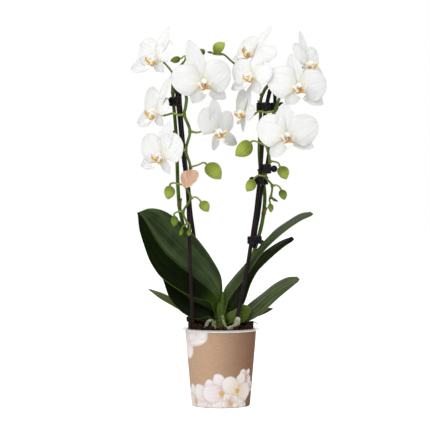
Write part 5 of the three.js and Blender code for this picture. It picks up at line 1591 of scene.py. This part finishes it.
# %% Tag
TAG_CENTRE = np.array([-35.5, -19.0, 261.5])
tag_outline = [(-5, -10.5), (-7.6, -9.2), (-10, -3), (-10.6, 2.2), (-8.5, 7.5), (-2.5, 9.9), (3.5, 10.3),
               (8.5, 9), (10.2, 4.5),
               (8, -1.5), (3, -7), (-1.0, -9.6)]
tag = Shape()
rim_line = smooth_curve([(x, 0, z) for x, z in tag_outline + [tag_outline[0]]], count=97)[:-1]
hinge = np.array([-4.0, 0, -8.5])
rings, places = [], []
levels = [0.04, 0.2, 0.4, 0.6, 0.8, 0.94, 1.0]
way_round = np.linspace(0, 2 * math.pi, 96, endpoint=False)


def tag_fold(part):
    """How far the ridges lift the face."""
    reach = rim_line - hinge
    fan = np.arctan2(reach[:, 2], reach[:, 0])
    return 0.55 * np.sin(fan * 17) * part * (1 - 0.4 * part)


for sign in (-1, 1):
    order = levels if sign == -1 else levels[::-1]
    for part in order:
        ring = hinge + (rim_line - hinge) * part
        curl = -1.2 * part**2
        depth = sign * (0.45 if part < 0.97 else 0.25)
        rings.append(ring + TAG_CENTRE + np.stack([0 * way_round, depth + tag_fold(part) + curl,
                                                   0 * way_round], axis=1))
        places.append([(part if sign == -1 else 2 - part, j / 96) for j in range(97)])
tag.skin(rings, places)

tag_finish = Finish("salmon_card", Roughness=0.5, Specular_IOR_Level=0.4)
u, v = tag_finish.surface()
fibre = tag_finish.noise(tag_finish.place(), 600, 4, 0.6)
ray = tag_finish.noise(tag_finish.node("ShaderNodeCombineXYZ", values={0: u * 0.4, 1: v * 22.0, 2: 0.0}), 1.5,
                       2, 0.5)
tone = tag_finish.blend(ray.step(0.42, 0.62) * 0.7, shade(228, 190, 158), shade(186, 130, 96))
tone = tag_finish.blend(fibre * 0.25, tone, shade(244, 216, 192))
tag_finish.feed("Base Color", tone)
tag_finish.bump(fibre * 0.5 + ray, 0.6, 0.0008)
make_piece("shell_tag", tag, [tag_finish.material], "salmon_tag", "tag_clip", sharp=60)

# %% [markdown]
# ## Studio
#
# A plain white floor and soft white light from all round, with broad lamps at the left front, above
# and behind the right, so that round things keep a light and a dark side. The floor glows a
# little, so that it meets the white of the studio with only a faint shadow under the pot.

# %% Floor and light
floor_mesh = bpy.data.meshes.new("studio_floor")
floor_mesh.from_pydata([(-6, -4, 0), (6, -4, 0), (6, 8, 0), (-6, 8, 0)], [], [(0, 1, 2, 3)])
floor = bpy.data.objects.new("studio_floor", floor_mesh)
floor.location.z = -0.0002
bpy.context.scene.collection.objects.link(floor)
floor_finish = Finish("studio_white", Roughness=0.9, Base_Color=(0.85, 0.85, 0.85, 1),
                      Emission_Color=(1, 1, 1, 1))
seen_by_lens = floor_finish.node("ShaderNodeLightPath", output=0)
floor_finish.feed("Emission Strength", seen_by_lens * 0.7)
floor_mesh.materials.append(floor_finish.material)

world = bpy.data.worlds.new("studio")
bpy.context.scene.world = world
world.use_nodes = True
tree = world.node_tree
seen = tree.nodes.new("ShaderNodeLightPath")
soft = tree.nodes["Background"]
soft.inputs["Color"].default_value = (1.0, 1.0, 1.0, 1)
soft.inputs["Strength"].default_value = 0.63
plain = tree.nodes.new("ShaderNodeBackground")
plain.inputs["Color"].default_value = (1, 1, 1, 1)
plain.inputs["Strength"].default_value = 1.0
choose = tree.nodes.new("ShaderNodeMixShader")
tree.links.new(seen.outputs["Is Camera Ray"], choose.inputs[0])
tree.links.new(soft.outputs[0], choose.inputs[1])
tree.links.new(plain.outputs[0], choose.inputs[2])
tree.links.new(choose.outputs[0], tree.nodes["World Output"].inputs["Surface"])


def soft_lamp(name, at, towards, size, watts):
    light = bpy.data.lights.new(name, "AREA")
    light.shape, light.size, light.size_y, light.energy = "RECTANGLE", size[0], size[1], watts
    lamp = bpy.data.objects.new(name, light)
    lamp.location = at
    lamp.rotation_euler = (Vector(towards) - Vector(at)).to_track_quat("-Z", "Y").to_euler()
    bpy.context.scene.collection.objects.link(lamp)


soft_lamp("left_front_lamp", (-0.8, -1.5, 1.0), (0, 0, 0.25), (1.0, 1.0), 6.8)
soft_lamp("top_lamp", (-0.2, -0.8, 1.4), (-0.02, 0, 0.3), (0.8, 0.7), 6.4)
soft_lamp("right_back_lamp", (1.3, 0.6, 1.0), (0, 0, 0.25), (0.8, 0.8), 4)

# %% [markdown]
# The camera is far off with a long lens, a touch above the flowers' middle, and looks very
# slightly down, so upright things stay upright.

# %% Camera
lens = bpy.data.cameras.new("studio_camera")
lens.sensor_width, lens.lens = 36.0, 159.6
lens.clip_end = 50
camera = bpy.data.objects.new("studio_camera", lens)
camera.location = (-0.0067, -2.2, 0.254)
gaze = Vector((-0.0067, 0, 0.2198)) - Vector(camera.location)
camera.rotation_euler = gaze.to_track_quat("-Z", "Y").to_euler()
bpy.context.scene.collection.objects.link(camera)
bpy.context.scene.camera = camera
bpy.context.scene.view_settings.view_transform = "Standard"
